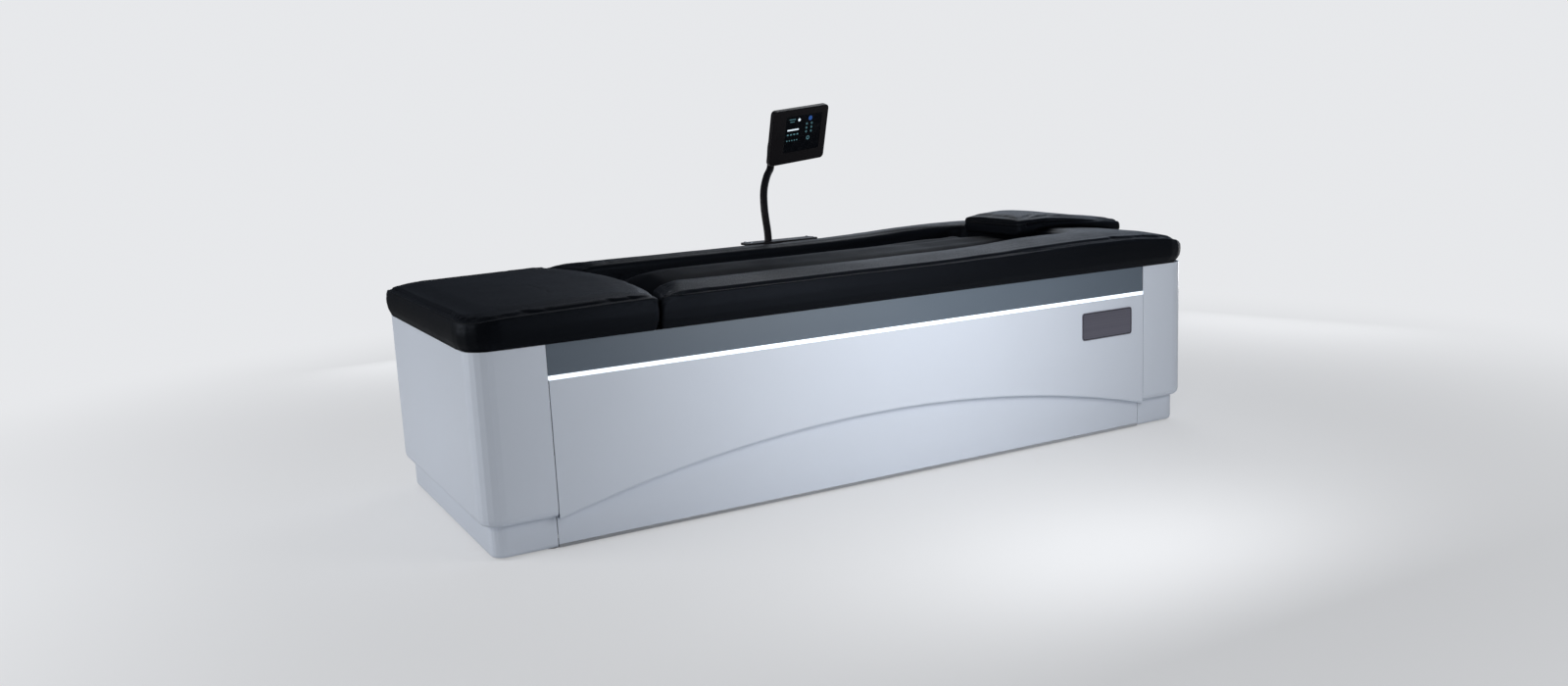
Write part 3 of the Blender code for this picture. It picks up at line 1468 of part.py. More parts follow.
def power_inlet(cover):
    """Inlet for the mains lead with its rocker switch, set in the head end cover."""
    place = (half_length, inlet_centre_y, inlet_centre_z)
    bm = bmesh.new()
    box(bm, (-inlet_depth, -inlet_half_width, -inlet_half_height), (0, inlet_half_width, inlet_half_height))
    inlet = piece("power_inlet", bm, black_plastic, place)
    flange = bmesh.new()
    wide, tall = inlet_half_width + inlet_flange, inlet_half_height + inlet_flange
    box(flange, (fit_gap, -wide, -tall), (inlet_proud, wide, tall))
    root = bmesh.new()
    box(root, (-cover_wall, -inlet_half_width, -inlet_half_height),
        (inlet_proud / 2, inlet_half_width, inlet_half_height))
    join(inlet, flange)
    join(inlet, root)
    pockets = bmesh.new()
    box(pockets, (inlet_proud - socket_depth, -socket_half_width, -socket_drop - socket_half_height),
        (inlet_proud + cut_overrun, socket_half_width, -socket_drop + socket_half_height))
    reach = switch_radius + switch_pocket_margin
    box(pockets, (inlet_proud - switch_set_back - reach, -switch_half_width - switch_pocket_margin,
                  switch_lift - reach),
        (inlet_proud + cut_overrun, switch_half_width + switch_pocket_margin, switch_lift + reach))
    cut(inlet, pockets)
    pin_bore = bmesh.new()
    pin_x = inlet_proud - switch_set_back
    pin_end = switch_half_width + switch_pocket_margin + switch_pin_reach
    swept_tube(pin_bore, [(pin_x, -pin_end, switch_lift), (pin_x, pin_end, switch_lift)],
               clear_of(switch_pin_radius + fit_gap, switch_pin_sides), switch_pin_sides)
    cut(inlet, pin_bore)
    window = bmesh.new()
    low = (half_length - seam_x - cover_wall - cut_overrun, inlet_centre_y - inlet_half_width - fit_gap,
           inlet_centre_z - cover_bottom - inlet_half_height - fit_gap)
    high = (half_length - seam_x + cut_overrun, inlet_centre_y + inlet_half_width + fit_gap,
            inlet_centre_z - cover_bottom + inlet_half_height + fit_gap)
    box(window, low, high)
    cut(cover, window)
    mains_switch((half_length + pin_x, inlet_centre_y, inlet_centre_z + switch_lift), pin_end - fit_gap)


def mains_switch(place, pin_reach):
    """Rocker on its pin, with every point inside a circle about the pin and its origin on it."""
    bm = bmesh.new()
    # Each row is the shares of half a turn and of the rocker's radius
    outline_shares = ((0.43, 1.0), (0.23, 0.74), (0.0, 0.46), (-0.30, 1.0), (-0.56, 1.0), (-0.83, 0.90),
                      (0.83, 0.90), (0.60, 1.0))
    outline = [(switch_radius * reach * math.cos(half_turn * turn),
                switch_radius * reach * math.sin(half_turn * turn)) for turn, reach in outline_shares]
    loft(bm, [[(x, y, z) for x, z in outline] for y in (-switch_half_width, switch_half_width)])
    rocker = piece("mains_switch", bm, black_plastic, place)
    pin = bmesh.new()
    swept_tube(pin, [(0, -pin_reach, 0), (0, pin_reach, 0)], switch_pin_radius, switch_pin_sides)
    join(rocker, pin)


# Panel arm and control panel

def arm_mount():
    """Saddle plate on the far rail, on the socket that stands on the deck frame."""
    bm = bmesh.new()
    bore = clear_of(arm_radius + arm_bore_gap)
    top = saddle_z + saddle_thickness
    turned(bm, [(socket_radius, board_bottom), (socket_radius, top - saddle_thickness / 2)])
    mount = piece("arm_mount", bm, black_plastic, (arm_x, arm_y, 0))
    saddle = bmesh.new()
    centre = (saddle_foot_x + saddle_length / 2 - arm_x, 0)
    outline = rounded_rect(saddle_length, 2 * saddle_half_width, saddle_corner, 3, centre)
    loft(saddle, [[(u, v, z) for u, v in outline] for z in (saddle_z, top)])
    join(mount, saddle)
    hole = bmesh.new()
    turned(hole, [(bore, top - arm_seat_depth), (bore, top + cut_overrun)])
    cut(mount, hole)


def panel_frame():
    """Empty on the panel's tilt axis: local X along the hinge, local Y away from the user."""
    turn = Euler((math.radians(panel_lean), math.radians(panel_roll), math.radians(panel_yaw)), "YXZ")
    axis = bpy.data.objects.new("panel_tilt_axis", None)
    axis.rotation_mode = "YXZ"
    axis.rotation_euler = turn
    axis.location = Vector(panel_centre) + turn.to_matrix() @ Vector((0, tilt_set_back, 0))
    bpy.context.collection.objects.link(axis)
    return axis


def panel_arm(axis):
    """Bent tube from the socket up behind the panel; its origin is on the swivel axis."""
    seat = Vector((arm_x, arm_y, saddle_z + saddle_thickness - arm_seat_depth + fit_gap))
    frame = axis.rotation_euler.to_matrix()
    neck = fork_gap + lug_half_width + fork_ear + fork_neck + fit_gap
    end = axis.location + frame @ Vector((-neck, 0, 0))
    lean = axis.location - seat
    # Shares of the way from the seat to the tilt axis, along X, Y and Z, up the lower part
    lower_shares = ((0.0, 0.0, 0.0), (0.0, 0.0, 0.10), (0.0, 0.0, 0.21), (-0.06, 0.02, 0.39),
                    (0.025, 0.52, 0.54), (0.20, 0.96, 0.65))
    # Shares of the panel's width, the tilt axis's set-back and the panel's height, behind the panel
    upper_shares = ((-0.335, -0.20, -0.613), (-0.330, 0.0, -0.38), (-0.325, 0.06, -0.19),
                    (-0.285, 0.03, -0.045))
    points = [seat + Vector((lean.x * u, lean.y * v, lean.z * w)) for u, v, w in lower_shares]
    points += [axis.location + frame @ Vector((panel_width * u, tilt_set_back * v, panel_height * w))
               for u, v, w in upper_shares]
    before = end + frame @ Vector((-arm_radius / 2, 0, 0))
    bm = bmesh.new()
    path = [point - seat for point in smooth_path(points + [before], arm_smooth_steps) + [end]]
    swept_tube(bm, path, arm_radius, arm_sides)
    piece("panel_arm", bm, black_plastic, seat)


def arm_head(axis):
    """Fork behind the panel, with its neck on the arm's end, and the hinge pin."""
    bm = bmesh.new()
    inner = lug_half_width + fork_gap
    outer = inner + fork_ear
    front = -lug_radius
    floor = fork_reach - fork_bridge
    outline = [(-outer, front), (-inner, front), (-inner, floor), (inner, floor), (inner, front),
               (outer, front), (outer, fork_reach), (-outer, fork_reach)]
    loft(bm, [[(x, y, z) for x, y in outline] for z in (-fork_half_height, fork_half_height)])
    fork = piece("arm_head", bm, black_plastic, parent=axis)
    neck = bmesh.new()
    swept_tube(neck, [(-outer - fork_neck, 0, 0), (-outer + fork_ear / 2, 0, 0)],
               arm_radius - fork_neck_step)
    join(fork, neck)
    pin = bmesh.new()
    reach = outer - fork_ear / 2
    swept_tube(pin, [(-reach, 0, 0), (reach, 0, 0)], tilt_pin_radius)
    join(fork, pin)


def panel_bracket(axis):
    """Plate on the panel's back with the lug that turns on the pin."""
    bm = bmesh.new()
    back = panel_depth / 2 - tilt_set_back + fit_gap
    front = back + lug_plate_thickness
    box(bm, (-lug_plate_half_width, back, -lug_plate_half_height),
        (lug_plate_half_width, front, lug_plate_half_height))
    plate = piece("panel_bracket", bm, black_plastic, parent=axis)
    lug = bmesh.new()
    outline = [(front - lug_plate_thickness / 2, -lug_radius)]
    for step in range(9):
        angle = quarter_turn * (step / 4 - 1)
        outline.append((lug_radius * math.cos(angle), lug_radius * math.sin(angle)))
    outline.append((front - lug_plate_thickness / 2, lug_radius))
    loft(lug, [[(x, y, z) for y, z in outline] for x in (-lug_half_width, lug_half_width)])
    join(plate, lug)
    bore = bmesh.new()
    swept_tube(bore, [(-lug_half_width - cut_overrun, 0, 0), (lug_half_width + cut_overrun, 0, 0)],
               tilt_pin_radius + tilt_pin_gap)
    cut(plate, bore)


def panel_ring(inset, depth):
    """Ring of the enclosure at a depth from its middle plane."""
    outline = rounded_rect(panel_width - 2 * inset, panel_height - 2 * inset, panel_corner - inset,
                           panel_corner_steps)
    return [(u, depth - tilt_set_back, v) for u, v in outline]


def screen_ring(inset, depth):
    """Ring of the screen's pocket, or of the screen in it."""
    outline = rounded_rect(screen_width - 2 * inset, screen_height - 2 * inset, screen_corner - inset,
                           panel_corner_steps, (screen_shift_x, screen_shift_z))
    return [(u, depth - tilt_set_back, v) for u, v in outline]


def control_panel(axis):
    """Enclosure with a recessed pocket, and the touch screen in it."""
    bm = bmesh.new()
    half = panel_depth / 2
    floor = -half + screen_pocket
    loft(bm, [panel_ring(panel_back_bevel, half), panel_ring(0, half - panel_back_bevel),
              panel_ring(0, -half + panel_front_bevel), panel_ring(panel_front_bevel, -half),
              screen_ring(0, -half), screen_ring(0, floor)])
    piece("panel_enclosure", bm, black_plastic, parent=axis)
    screen = bmesh.new()
    loft(screen, [screen_ring(screen_gap, floor - fit_gap),
                  screen_ring(screen_gap, floor - fit_gap - screen_thickness)])
    piece("touch_screen", screen, screen_glass, parent=axis)


def build():
    """Build every piece of the table."""
    clear_scene()
    head_cover = end_covers_and_skirts()
    side_panels()
    name_plate()
    base_frame()
    levelling_feet()
    deck_frame()
    water_tub()
    membrane()
    clamp_frame()
    deck_board()
    foot_pad()
    surround_pad()
    pillow()
    guide_rails()
    carriage()
    belt_clamp()
    jet_manifold()
    jet_rotor("near_jet_rotor", -rotor_half_spacing)
    jet_rotor("far_jet_rotor", rotor_half_spacing)
    carriage_hose()
    drive_belt()
    drive_units()
    pump_motor()
    pump_housing()
    pump_impeller()
    pipes()
    heater()
    drain_valve()
    control_box()
    power_inlet(head_cover)
    arm_mount()
    axis = panel_frame()
    panel_arm(axis)
    arm_head(axis)
    panel_bracket(axis)
    control_panel(axis)


build()
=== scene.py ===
import math

import bmesh
import bpy
import numpy as np
from mathutils import Matrix, Vector, noise
from mathutils.bvhtree import BVHTree
from mathutils.kdtree import KDTree


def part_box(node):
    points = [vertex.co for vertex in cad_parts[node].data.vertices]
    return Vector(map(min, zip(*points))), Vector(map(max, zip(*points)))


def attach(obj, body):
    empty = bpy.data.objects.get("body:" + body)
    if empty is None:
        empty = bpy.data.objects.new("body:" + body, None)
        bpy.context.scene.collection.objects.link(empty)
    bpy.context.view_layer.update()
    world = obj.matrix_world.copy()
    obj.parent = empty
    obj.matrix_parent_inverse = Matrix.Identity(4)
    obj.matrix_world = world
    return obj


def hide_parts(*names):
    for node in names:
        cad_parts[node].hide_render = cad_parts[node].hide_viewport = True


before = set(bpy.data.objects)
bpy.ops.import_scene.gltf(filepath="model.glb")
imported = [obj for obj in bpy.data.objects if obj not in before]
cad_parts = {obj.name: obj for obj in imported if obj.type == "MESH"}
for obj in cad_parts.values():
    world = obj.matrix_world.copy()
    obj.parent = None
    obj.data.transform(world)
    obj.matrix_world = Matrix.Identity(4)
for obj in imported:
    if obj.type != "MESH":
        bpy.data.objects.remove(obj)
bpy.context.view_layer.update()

bl_info = {
    "name": "Hydrotherapy massage table",
    "version": (1, 0, 0),
    "blender": (4, 5, 0),
    "location": "View3D > Sidebar > Massage Table",
    "description": "Dresses the massage table with its cushions, membrane, screen and finishes",
    "category": "Object",
}

MERGE_DISTANCE = 0.00001
DOWN = Vector((0, 0, -1))
ABOVE = 1.0
TURN = 2 * math.pi
PLAN_PITCH = 0.004


# Settings that a user would change

class ShellSettings(bpy.types.PropertyGroup):
    shell: bpy.props.FloatVectorProperty(
        name="Shell", description="Colour of the moulded covers and side panels",
        subtype="COLOR", size=3, min=0, max=1, default=(0.65, 0.70, 0.785))
    # The fascia's colour is its own grey darkened with painted shade, standing in for the shade under
    # the cushions' overhang.
    fascia: bpy.props.FloatVectorProperty(
        name="Fascia", description="Colour of the set-back fascia over the lit strip",
        subtype="COLOR", size=3, min=0, max=1, default=(0.108, 0.138, 0.174))
    light: bpy.props.FloatVectorProperty(
        name="Light strip", description="Colour of the lit strip",
        subtype="COLOR", size=3, min=0, max=1, default=(0.86, 0.93, 1.0))
    light_strength: bpy.props.FloatProperty(
        name="Light strength", description="How brightly the strip shines",
        min=0, max=50, default=1.05)
    edge_radius: bpy.props.FloatProperty(
        name="Edge radius", description="How far the moulded edges are rounded off",
        subtype="DISTANCE", unit="LENGTH", min=0, max=0.01, default=0.0012)


class CushionSettings(bpy.types.PropertyGroup):
    vinyl: bpy.props.FloatVectorProperty(
        name="Vinyl", description="Colour of the cushions' covers",
        subtype="COLOR", size=3, min=0, max=1, default=(0.0026, 0.003, 0.004))
    thread: bpy.props.FloatVectorProperty(
        name="Thread", description="Colour of the seams' thread",
        subtype="COLOR", size=3, min=0, max=1, default=(0.016, 0.018, 0.022))
    pad_voxel: bpy.props.FloatProperty(
        name="Pad mesh size",
        description="Size of the mesh that the large pads' covers are simulated on",
        subtype="DISTANCE", unit="LENGTH", min=0.003, max=0.03, default=0.006)
    pillow_voxel: bpy.props.FloatProperty(
        name="Pillow mesh size",
        description="Size of the mesh that the pillow's cover is simulated on",
        subtype="DISTANCE", unit="LENGTH", min=0.003, max=0.03, default=0.005)
    pad_swell: bpy.props.FloatProperty(
        name="Pad swell", description="How far a pad's cover may stand off its foam",
        subtype="DISTANCE", unit="LENGTH", min=0, max=0.03, default=0.005)
    pillow_swell: bpy.props.FloatProperty(
        name="Pillow swell", description="How far the pillow's cover may stand off its filling",
        subtype="DISTANCE", unit="LENGTH", min=0, max=0.03, default=0.008)
    pillow_fill: bpy.props.FloatProperty(
        name="Pillow fill", description="How far the pillow's top is filled out at its foot end",
        subtype="DISTANCE", unit="LENGTH", min=0, max=0.02, default=0.0085)
    edge_fill: bpy.props.FloatProperty(
        name="Edge fill", description="How far a pad's upper edge is filled out to a crease",
        subtype="DISTANCE", unit="LENGTH", min=0, max=0.01, default=0.0046)
    channel_depth: bpy.props.FloatProperty(
        name="Channel depth", description="How deep a seam pulls into the foam",
        subtype="DISTANCE", unit="LENGTH", min=0, max=0.02, default=0.0018)
    channel_width: bpy.props.FloatProperty(
        name="Channel width", description="How wide a seam pulls the cover down",
        subtype="DISTANCE", unit="LENGTH", min=0.001, max=0.03, default=0.0048)
    stitch_pitch: bpy.props.FloatProperty(
        name="Stitch pitch", description="Distance from one stitch to the next",
        subtype="DISTANCE", unit="LENGTH", min=0.002, max=0.05, default=0.0062)
    stitch_length: bpy.props.FloatProperty(
        name="Stitch length", description="Length of one stitch",
        subtype="DISTANCE", unit="LENGTH", min=0.001, max=0.05, default=0.0046)
    thread_width: bpy.props.FloatProperty(
        name="Thread width", description="Width of the thread",
        subtype="DISTANCE", unit="LENGTH", min=0.0002, max=0.005, default=0.0011)


class MembraneSettings(bpy.types.PropertyGroup):
    colour: bpy.props.FloatVectorProperty(
        name="Membrane", description="Colour of the membrane over the water",
        subtype="COLOR", size=3, min=0, max=1, default=(0.004, 0.0045, 0.006))
    thickness: bpy.props.FloatProperty(
        name="Thickness", description="Thickness of the membrane",
        subtype="DISTANCE", unit="LENGTH", min=0.0005, max=0.005, default=0.0016)
    long_fold: bpy.props.FloatProperty(
        name="Long fold", description="Height of the long slack fold that runs up to the pillow",
        subtype="DISTANCE", unit="LENGTH", min=0, max=0.04, default=0.012)
    small_folds: bpy.props.FloatProperty(
        name="Small folds", description="Height of the small folds at the corners and the edges",
        subtype="DISTANCE", unit="LENGTH", min=0, max=0.02, default=0.0035)
    cell: bpy.props.FloatProperty(
        name="Mesh size", description="Size of the membrane's mesh",
        subtype="DISTANCE", unit="LENGTH", min=0.003, max=0.03, default=0.009)


class ScreenSettings(bpy.types.PropertyGroup):
    white: bpy.props.FloatVectorProperty(
        name="White marks", description="Colour of the screen's main marks",
        subtype="COLOR", size=3, min=0, max=1, default=(0.80, 0.92, 1.0))
    teal: bpy.props.FloatVectorProperty(
        name="Teal marks", description="Colour of the screen's buttons",
        subtype="COLOR", size=3, min=0, max=1, default=(0.085, 0.20, 0.23))
    blue: bpy.props.FloatVectorProperty(
        name="Blue marks", description="Colour of the screen's start button",
        subtype="COLOR", size=3, min=0, max=1, default=(0.02, 0.075, 0.27))
    brightness: bpy.props.FloatProperty(
        name="Brightness", description="How brightly the screen's marks shine",
        min=0, max=10, default=1.0)


class StageSettings(bpy.types.PropertyGroup):
    floor: bpy.props.FloatVectorProperty(
        name="Floor", description="Colour of the floor and of what is behind it",
        subtype="COLOR", size=3, min=0, max=1, default=(0.80, 0.81, 0.83))
    gloss: bpy.props.FloatVectorProperty(
        name="Studio in reflections", description="Colour of the studio that gloss and metal show",
        subtype="COLOR", size=3, min=0, max=1, default=(0.60, 0.71, 0.92))
    daylight: bpy.props.FloatProperty(
        name="All-round light", description="Strength of the even light from all sides",
        min=0, max=5, default=0.25)
    dim_side: bpy.props.FloatProperty(
        name="Dim side", description="How bright the foot end's side of the studio is in reflections",
        min=0, max=1, default=0.12)
    lens: bpy.props.FloatProperty(
        name="Lens", description="Focal length of the camera",
        subtype="DISTANCE_CAMERA", unit="CAMERA", min=1, max=300, default=28.669)


class TableSettings(bpy.types.PropertyGroup):
    shell: bpy.props.PointerProperty(type=ShellSettings)
    cushion: bpy.props.PointerProperty(type=CushionSettings)
    membrane: bpy.props.PointerProperty(type=MembraneSettings)
    screen: bpy.props.PointerProperty(type=ScreenSettings)
    stage: bpy.props.PointerProperty(type=StageSettings)


# Meshes

def linked(name, mesh):
    piece = bpy.data.objects.new(name, mesh)
    bpy.context.scene.collection.objects.link(piece)
    return piece


def mesh_of(form, name):
    mesh = bpy.data.meshes.new(name)
    form.to_mesh(mesh)
    form.free()
    return mesh


def cad_copy(node, name):
    """A merged copy of a node's solid, to start a soft piece from."""
    form = bmesh.new()
    form.from_mesh(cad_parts[node].data)
    bmesh.ops.remove_doubles(form, verts=form.verts, dist=MERGE_DISTANCE)
    return linked(name, mesh_of(form, name))


def evaluated(piece):
    return piece.evaluated_get(bpy.context.evaluated_depsgraph_get())


def bake_modifiers(piece):
    """Gives a piece the mesh that its modifiers make, and takes them off."""
    shape = bpy.data.meshes.new_from_object(evaluated(piece))
    piece.modifiers.clear()
    plain = piece.data
    piece.data = shape
    bpy.data.meshes.remove(plain)
    shape.name = piece.name


def vectors_of(items, key):
    flat = np.empty(len(items) * 3, dtype=np.float32)
    items.foreach_get(key, flat)
    return flat.reshape(-1, 3)


def points_of(mesh):
    return vectors_of(mesh.vertices, "co")


def normals_of(mesh):
    return vectors_of(mesh.vertex_normals, "vector")


def set_points(mesh, points):
    mesh.vertices.foreach_set("co", np.asarray(points, dtype=np.float32).ravel())
    mesh.update()


def smooth_shaded(piece):
    piece.data.polygons.foreach_set("use_smooth", [True] * len(piece.data.polygons))
    piece.data.update()


def surface_of(piece):
    mesh = piece.data
    return BVHTree.FromPolygons([v.co for v in mesh.vertices], [p.vertices for p in mesh.polygons])


def top_at(surface, x, y):
    """The highest point of a surface over a place in plan, or None."""
    return surface.ray_cast(Vector((x, y, ABOVE)), DOWN)[0]


def only_material(piece, material):
    piece.data.materials.clear()
    piece.data.materials.append(material)


# Soft goods

EASING_PASSES = 2
FACING_DOWN = -0.6
EDGE_DEPTH = 0.0012
DRAW_IN = 0.0008
SLIDE = 0.0015
CLOTH_MOMENTS = 20
CLOTH = {"quality": 5, "mass": 0.3, "tension_stiffness": 15, "compression_stiffness": 15,
         "shear_stiffness": 5, "bending_stiffness": 0.5, "use_pressure": True,
         "uniform_pressure_force": 4.0, "vertex_group_mass": "resting"}


def remeshed(piece, voxel):
    """Turns a faceted solid into an even mesh with its facets smoothed out."""
    remesh = piece.modifiers.new("even mesh", "REMESH")
    remesh.mode = "VOXEL"
    remesh.voxel_size = voxel
    remesh.use_smooth_shade = True
    smooth = piece.modifiers.new("soft facets", "SMOOTH")
    smooth.factor = 0.5
    smooth.iterations = EASING_PASSES
    bake_modifiers(piece)


def lying(mesh, floor_height):
    """Which points of a cover lie on what carries it: those that face down, and the lowest ones."""
    return (normals_of(mesh)[:, 2] < FACING_DOWN) | (points_of(mesh)[:, 2] < floor_height)


def shrunk(piece, depth, floor_height):
    """Takes a cover in along its normals, and keeps what it lies on where it is."""
    mesh = piece.data
    inward = normals_of(mesh) * depth
    inward[lying(mesh, floor_height)] = 0
    set_points(mesh, points_of(mesh) - inward)


def swollen(piece, limit, floor_height):
    """Blows a cover up as cloth round its filling, and limits how far it stands off and draws in."""
    mesh = piece.data
    start, out = points_of(mesh), normals_of(mesh)
    resting = piece.vertex_groups.new(name="resting")
    resting.add([int(i) for i in np.nonzero(lying(mesh, floor_height))[0]], 1.0, "REPLACE")
    cloth = piece.modifiers.new("cover", "CLOTH")
    for key, value in CLOTH.items():
        setattr(cloth.settings, key, value)
    cloth.settings.effector_weights.gravity = 0
    cloth.point_cache.frame_start = 1
    cloth.point_cache.frame_end = CLOTH_MOMENTS
    for moment in range(1, CLOTH_MOMENTS + 1):
        bpy.context.scene.frame_set(moment)
    blown = points_of(evaluated(piece).data)
    move = blown - start
    rise = (move * out).sum(axis=1, keepdims=True)
    slide = move - out * rise
    rise = np.where(rise > 0, limit * np.tanh(rise / limit), DRAW_IN * np.tanh(rise / DRAW_IN))
    length = np.maximum(np.linalg.norm(slide, axis=1, keepdims=True), MERGE_DISTANCE)
    slide *= SLIDE * np.tanh(length / SLIDE) / length
    piece.modifiers.clear()
    piece.vertex_groups.clear()
    set_points(mesh, start + out * rise + slide)
    bpy.context.scene.frame_set(1)


def held_out(piece, solid):
    """Keeps a cover from lying deep inside its solid, so that its edges stay firm."""
    mesh = piece.data
    points = points_of(mesh)
    for index, point in enumerate(points.tolist()):
        place = Vector(point)
        near, out, _, away = solid.find_nearest(place)
        if away > EDGE_DEPTH and (place - near).dot(out) < 0:
            points[index] = near + (place - near) * (EDGE_DEPTH / away)
    set_points(mesh, points)


def soft_cover(node_name, name, voxel, swell, tightness, floor_height):
    """A soft piece's cover, blown up and eased over its filling, before it is sewn."""
    piece = cad_copy(node_name, name)
    solid = surface_of(piece)
    remeshed(piece, voxel)
    shrunk(piece, swell * tightness, floor_height)
    swollen(piece, swell, floor_height)
    held_out(piece, solid)
    finer = piece.modifiers.new("finer cover", "SUBSURF")
    finer.levels = finer.render_levels = 1
    bake_modifiers(piece)
    return piece


def uneven(piece, height, length, floor_height):
    """Lets a cover undulate a little, as vinyl over foam does."""
    mesh = piece.data
    points, out = points_of(mesh), normals_of(mesh)
    amount = np.array([noise.noise(Vector(p) / length) for p in points.tolist()], dtype=np.float32)
    amount[lying(mesh, floor_height)] = 0
    set_points(mesh, points + out * (amount * height)[:, None])


def sewn(piece, path, depth, width):
    """Pulls a cover in along a seam."""
    tree = KDTree(len(path))
    for index, point in enumerate(path):
        tree.insert(point, index)
    tree.balance()
    mesh = piece.data
    points, out = points_of(mesh), normals_of(mesh)
    away = np.array([tree.find(p)[2] for p in points.tolist()], dtype=np.float32)
    set_points(mesh, points - out * (depth * np.exp(-(away / width) ** 2))[:, None])


def spaced(points, pitch, closed=False):
    """The same line with a point at every pitch."""
    line = np.array([list(p) for p in points])
    if closed:
        line = np.vstack([line, line[:1]])
    step = np.linalg.norm(np.diff(line, axis=0), axis=1)
    run = np.concatenate([[0], np.cumsum(step)])
    count = max(2, int(round(run[-1] / pitch)) + 1)
    where = np.linspace(0, run[-1], count)
    return [Vector([float(np.interp(w, run, line[:, k])) for k in range(3)]) for w in where]


def bow(start_x, end_x, half_width, radius):
    """A U-shaped line in plan, from one open end round the far end, with its outward directions."""
    sign = 1 if end_x > start_x else -1
    corner_x = end_x - sign * radius
    corner_y = half_width - radius
    straight = max(2, int(abs(corner_x - start_x) / PLAN_PITCH))
    across = max(2, int(2 * corner_y / PLAN_PITCH))
    turns = max(4, int(radius * math.pi / 2 / PLAN_PITCH))
    angles = [math.pi / 2 * k / turns for k in range(turns)]
    line = [(start_x + (corner_x - start_x) * k / straight, -half_width, 0, -1)
            for k in range(straight)]
    line += [(corner_x + sign * radius * math.sin(a), -corner_y - radius * math.cos(a),
              sign * math.sin(a), -math.cos(a)) for a in angles]
    line += [(end_x, -corner_y + 2 * corner_y * k / across, sign, 0) for k in range(across)]
    line += [(corner_x + sign * radius * math.cos(a), corner_y + radius * math.sin(a),
              sign * math.cos(a), math.sin(a)) for a in angles]
    return line + [(corner_x + (start_x - corner_x) * k / straight, half_width, 0, 1)
                   for k in range(straight + 1)]


def side_line(surface, plan, inset, drop, reach=0.03):
    """Where a seam runs on the side of a pad, a given drop under its top edge."""
    found = []
    for x, y, out_x, out_y in plan:
        top = top_at(surface, x - out_x * inset, y - out_y * inset)
        if top is None:
            continue
        start = Vector((x + out_x * reach, y + out_y * reach, top.z - drop))
        found.append(surface.ray_cast(start, Vector((-out_x, -out_y, 0)), 3 * reach)[0])
    return [hit for hit in found if hit is not None]


def top_line(surface, places):
    """Where a row of stitches runs on top of a pad, over given places in plan."""
    found = [top_at(surface, x, y) for x, y in places]
    return [top + Vector((0, 0, ROW_LIFT)) for top in found if top is not None]


def inset_plan(plan, inset):
    return [(x - out_x * inset, y - out_y * inset) for x, y, out_x, out_y in plan]


# Node trees

def wired(tree, made, values):
    """Fills or links the sockets of a node."""
    for key, value in dict(values).items():
        if isinstance(value, bpy.types.NodeSocket):
            tree.links.new(value, made.inputs[key])
        else:
            made.inputs[key].default_value = value
    return made


def node(tree, kind, values=(), **settings):
    """A node with its settings, and its sockets filled or linked."""
    made = tree.nodes.new(kind)
    for key, value in settings.items():
        setattr(made, key, value)
    return wired(tree, made, values)


def with_sockets(group, inputs, outputs):
    """Gives a node group its sockets and its two end nodes."""
    for label, kind, default in inputs:
        socket = group.interface.new_socket(label, in_out="INPUT", socket_type=kind)
        if default is not None:
            socket.default_value = default
    for label, kind in outputs:
        group.interface.new_socket(label, in_out="OUTPUT", socket_type=kind)
    return group, group.nodes.new("NodeGroupInput"), group.nodes.new("NodeGroupOutput")


# Geometry Nodes for what repeats

def new_tree(name, inputs):
    tree = bpy.data.node_groups.new(name, "GeometryNodeTree")
    tree.is_modifier = True
    return with_sockets(tree, (("Geometry", "NodeSocketGeometry", None),) + inputs,
                        (("Geometry", "NodeSocketGeometry"),))


def finish_tree(tree, given, out, instances):
    real = node(tree, "GeometryNodeRealizeInstances", {0: instances})
    paint = node(tree, "GeometryNodeSetMaterial", {
        "Geometry": real.outputs[0], "Material": given.outputs["Material"]})
    wired(tree, out, {0: paint.outputs[0]})
    return tree


def stitch_tree():
    """Stitches at an even pitch along the lines that a mesh of edges gives."""
    tree, given, out = new_tree("stitches along a seam", (
        ("Pitch", "NodeSocketFloat", 0.006), ("Length", "NodeSocketFloat", 0.0045),
        ("Width", "NodeSocketFloat", 0.001), ("Material", "NodeSocketMaterial", None)))
    width = given.outputs["Width"]
    line = node(tree, "GeometryNodeMeshToCurve", {"Mesh": given.outputs["Geometry"]})
    even = node(tree, "GeometryNodeResampleCurve", {
        "Curve": line.outputs[0], "Length": given.outputs["Pitch"]}, mode="LENGTH")
    thread = node(tree, "GeometryNodeMeshUVSphere", {"Segments": 6, "Rings": 4, "Radius": 0.5})
    smooth = node(tree, "GeometryNodeSetShadeSmooth", {"Geometry": thread.outputs["Mesh"]})
    size = node(tree, "ShaderNodeCombineXYZ", {"X": given.outputs["Length"], "Y": width, "Z": width})
    tangent = node(tree, "GeometryNodeInputTangent")
    turn = node(tree, "FunctionNodeAlignRotationToVector", {"Vector": tangent.outputs[0]}, axis="X")
    place = node(tree, "GeometryNodeInstanceOnPoints", {
        "Points": even.outputs[0], "Instance": smooth.outputs[0], "Rotation": turn.outputs[0],
        "Scale": size.outputs[0]})
    return finish_tree(tree, given, out, place.outputs[0])


def fixing_tree():
    """A given shape on each point, standing along the point's own facing direction."""
    tree, given, out = new_tree("shape on each point", (
        ("Shape", "NodeSocketObject", None), ("Size", "NodeSocketFloat", 1.0),
        ("Material", "NodeSocketMaterial", None)))
    shape = node(tree, "GeometryNodeObjectInfo", {"Object": given.outputs["Shape"]})
    facing = node(tree, "GeometryNodeInputNamedAttribute", {"Name": "facing"}, data_type="FLOAT_VECTOR")
    turn = node(tree, "FunctionNodeAlignRotationToVector", {"Vector": facing.outputs["Attribute"]},
                axis="Z")
    place = node(tree, "GeometryNodeInstanceOnPoints", {
        "Points": given.outputs["Geometry"], "Instance": shape.outputs["Geometry"],
        "Rotation": turn.outputs[0], "Scale": given.outputs["Size"]})
    return finish_tree(tree, given, out, place.outputs[0])


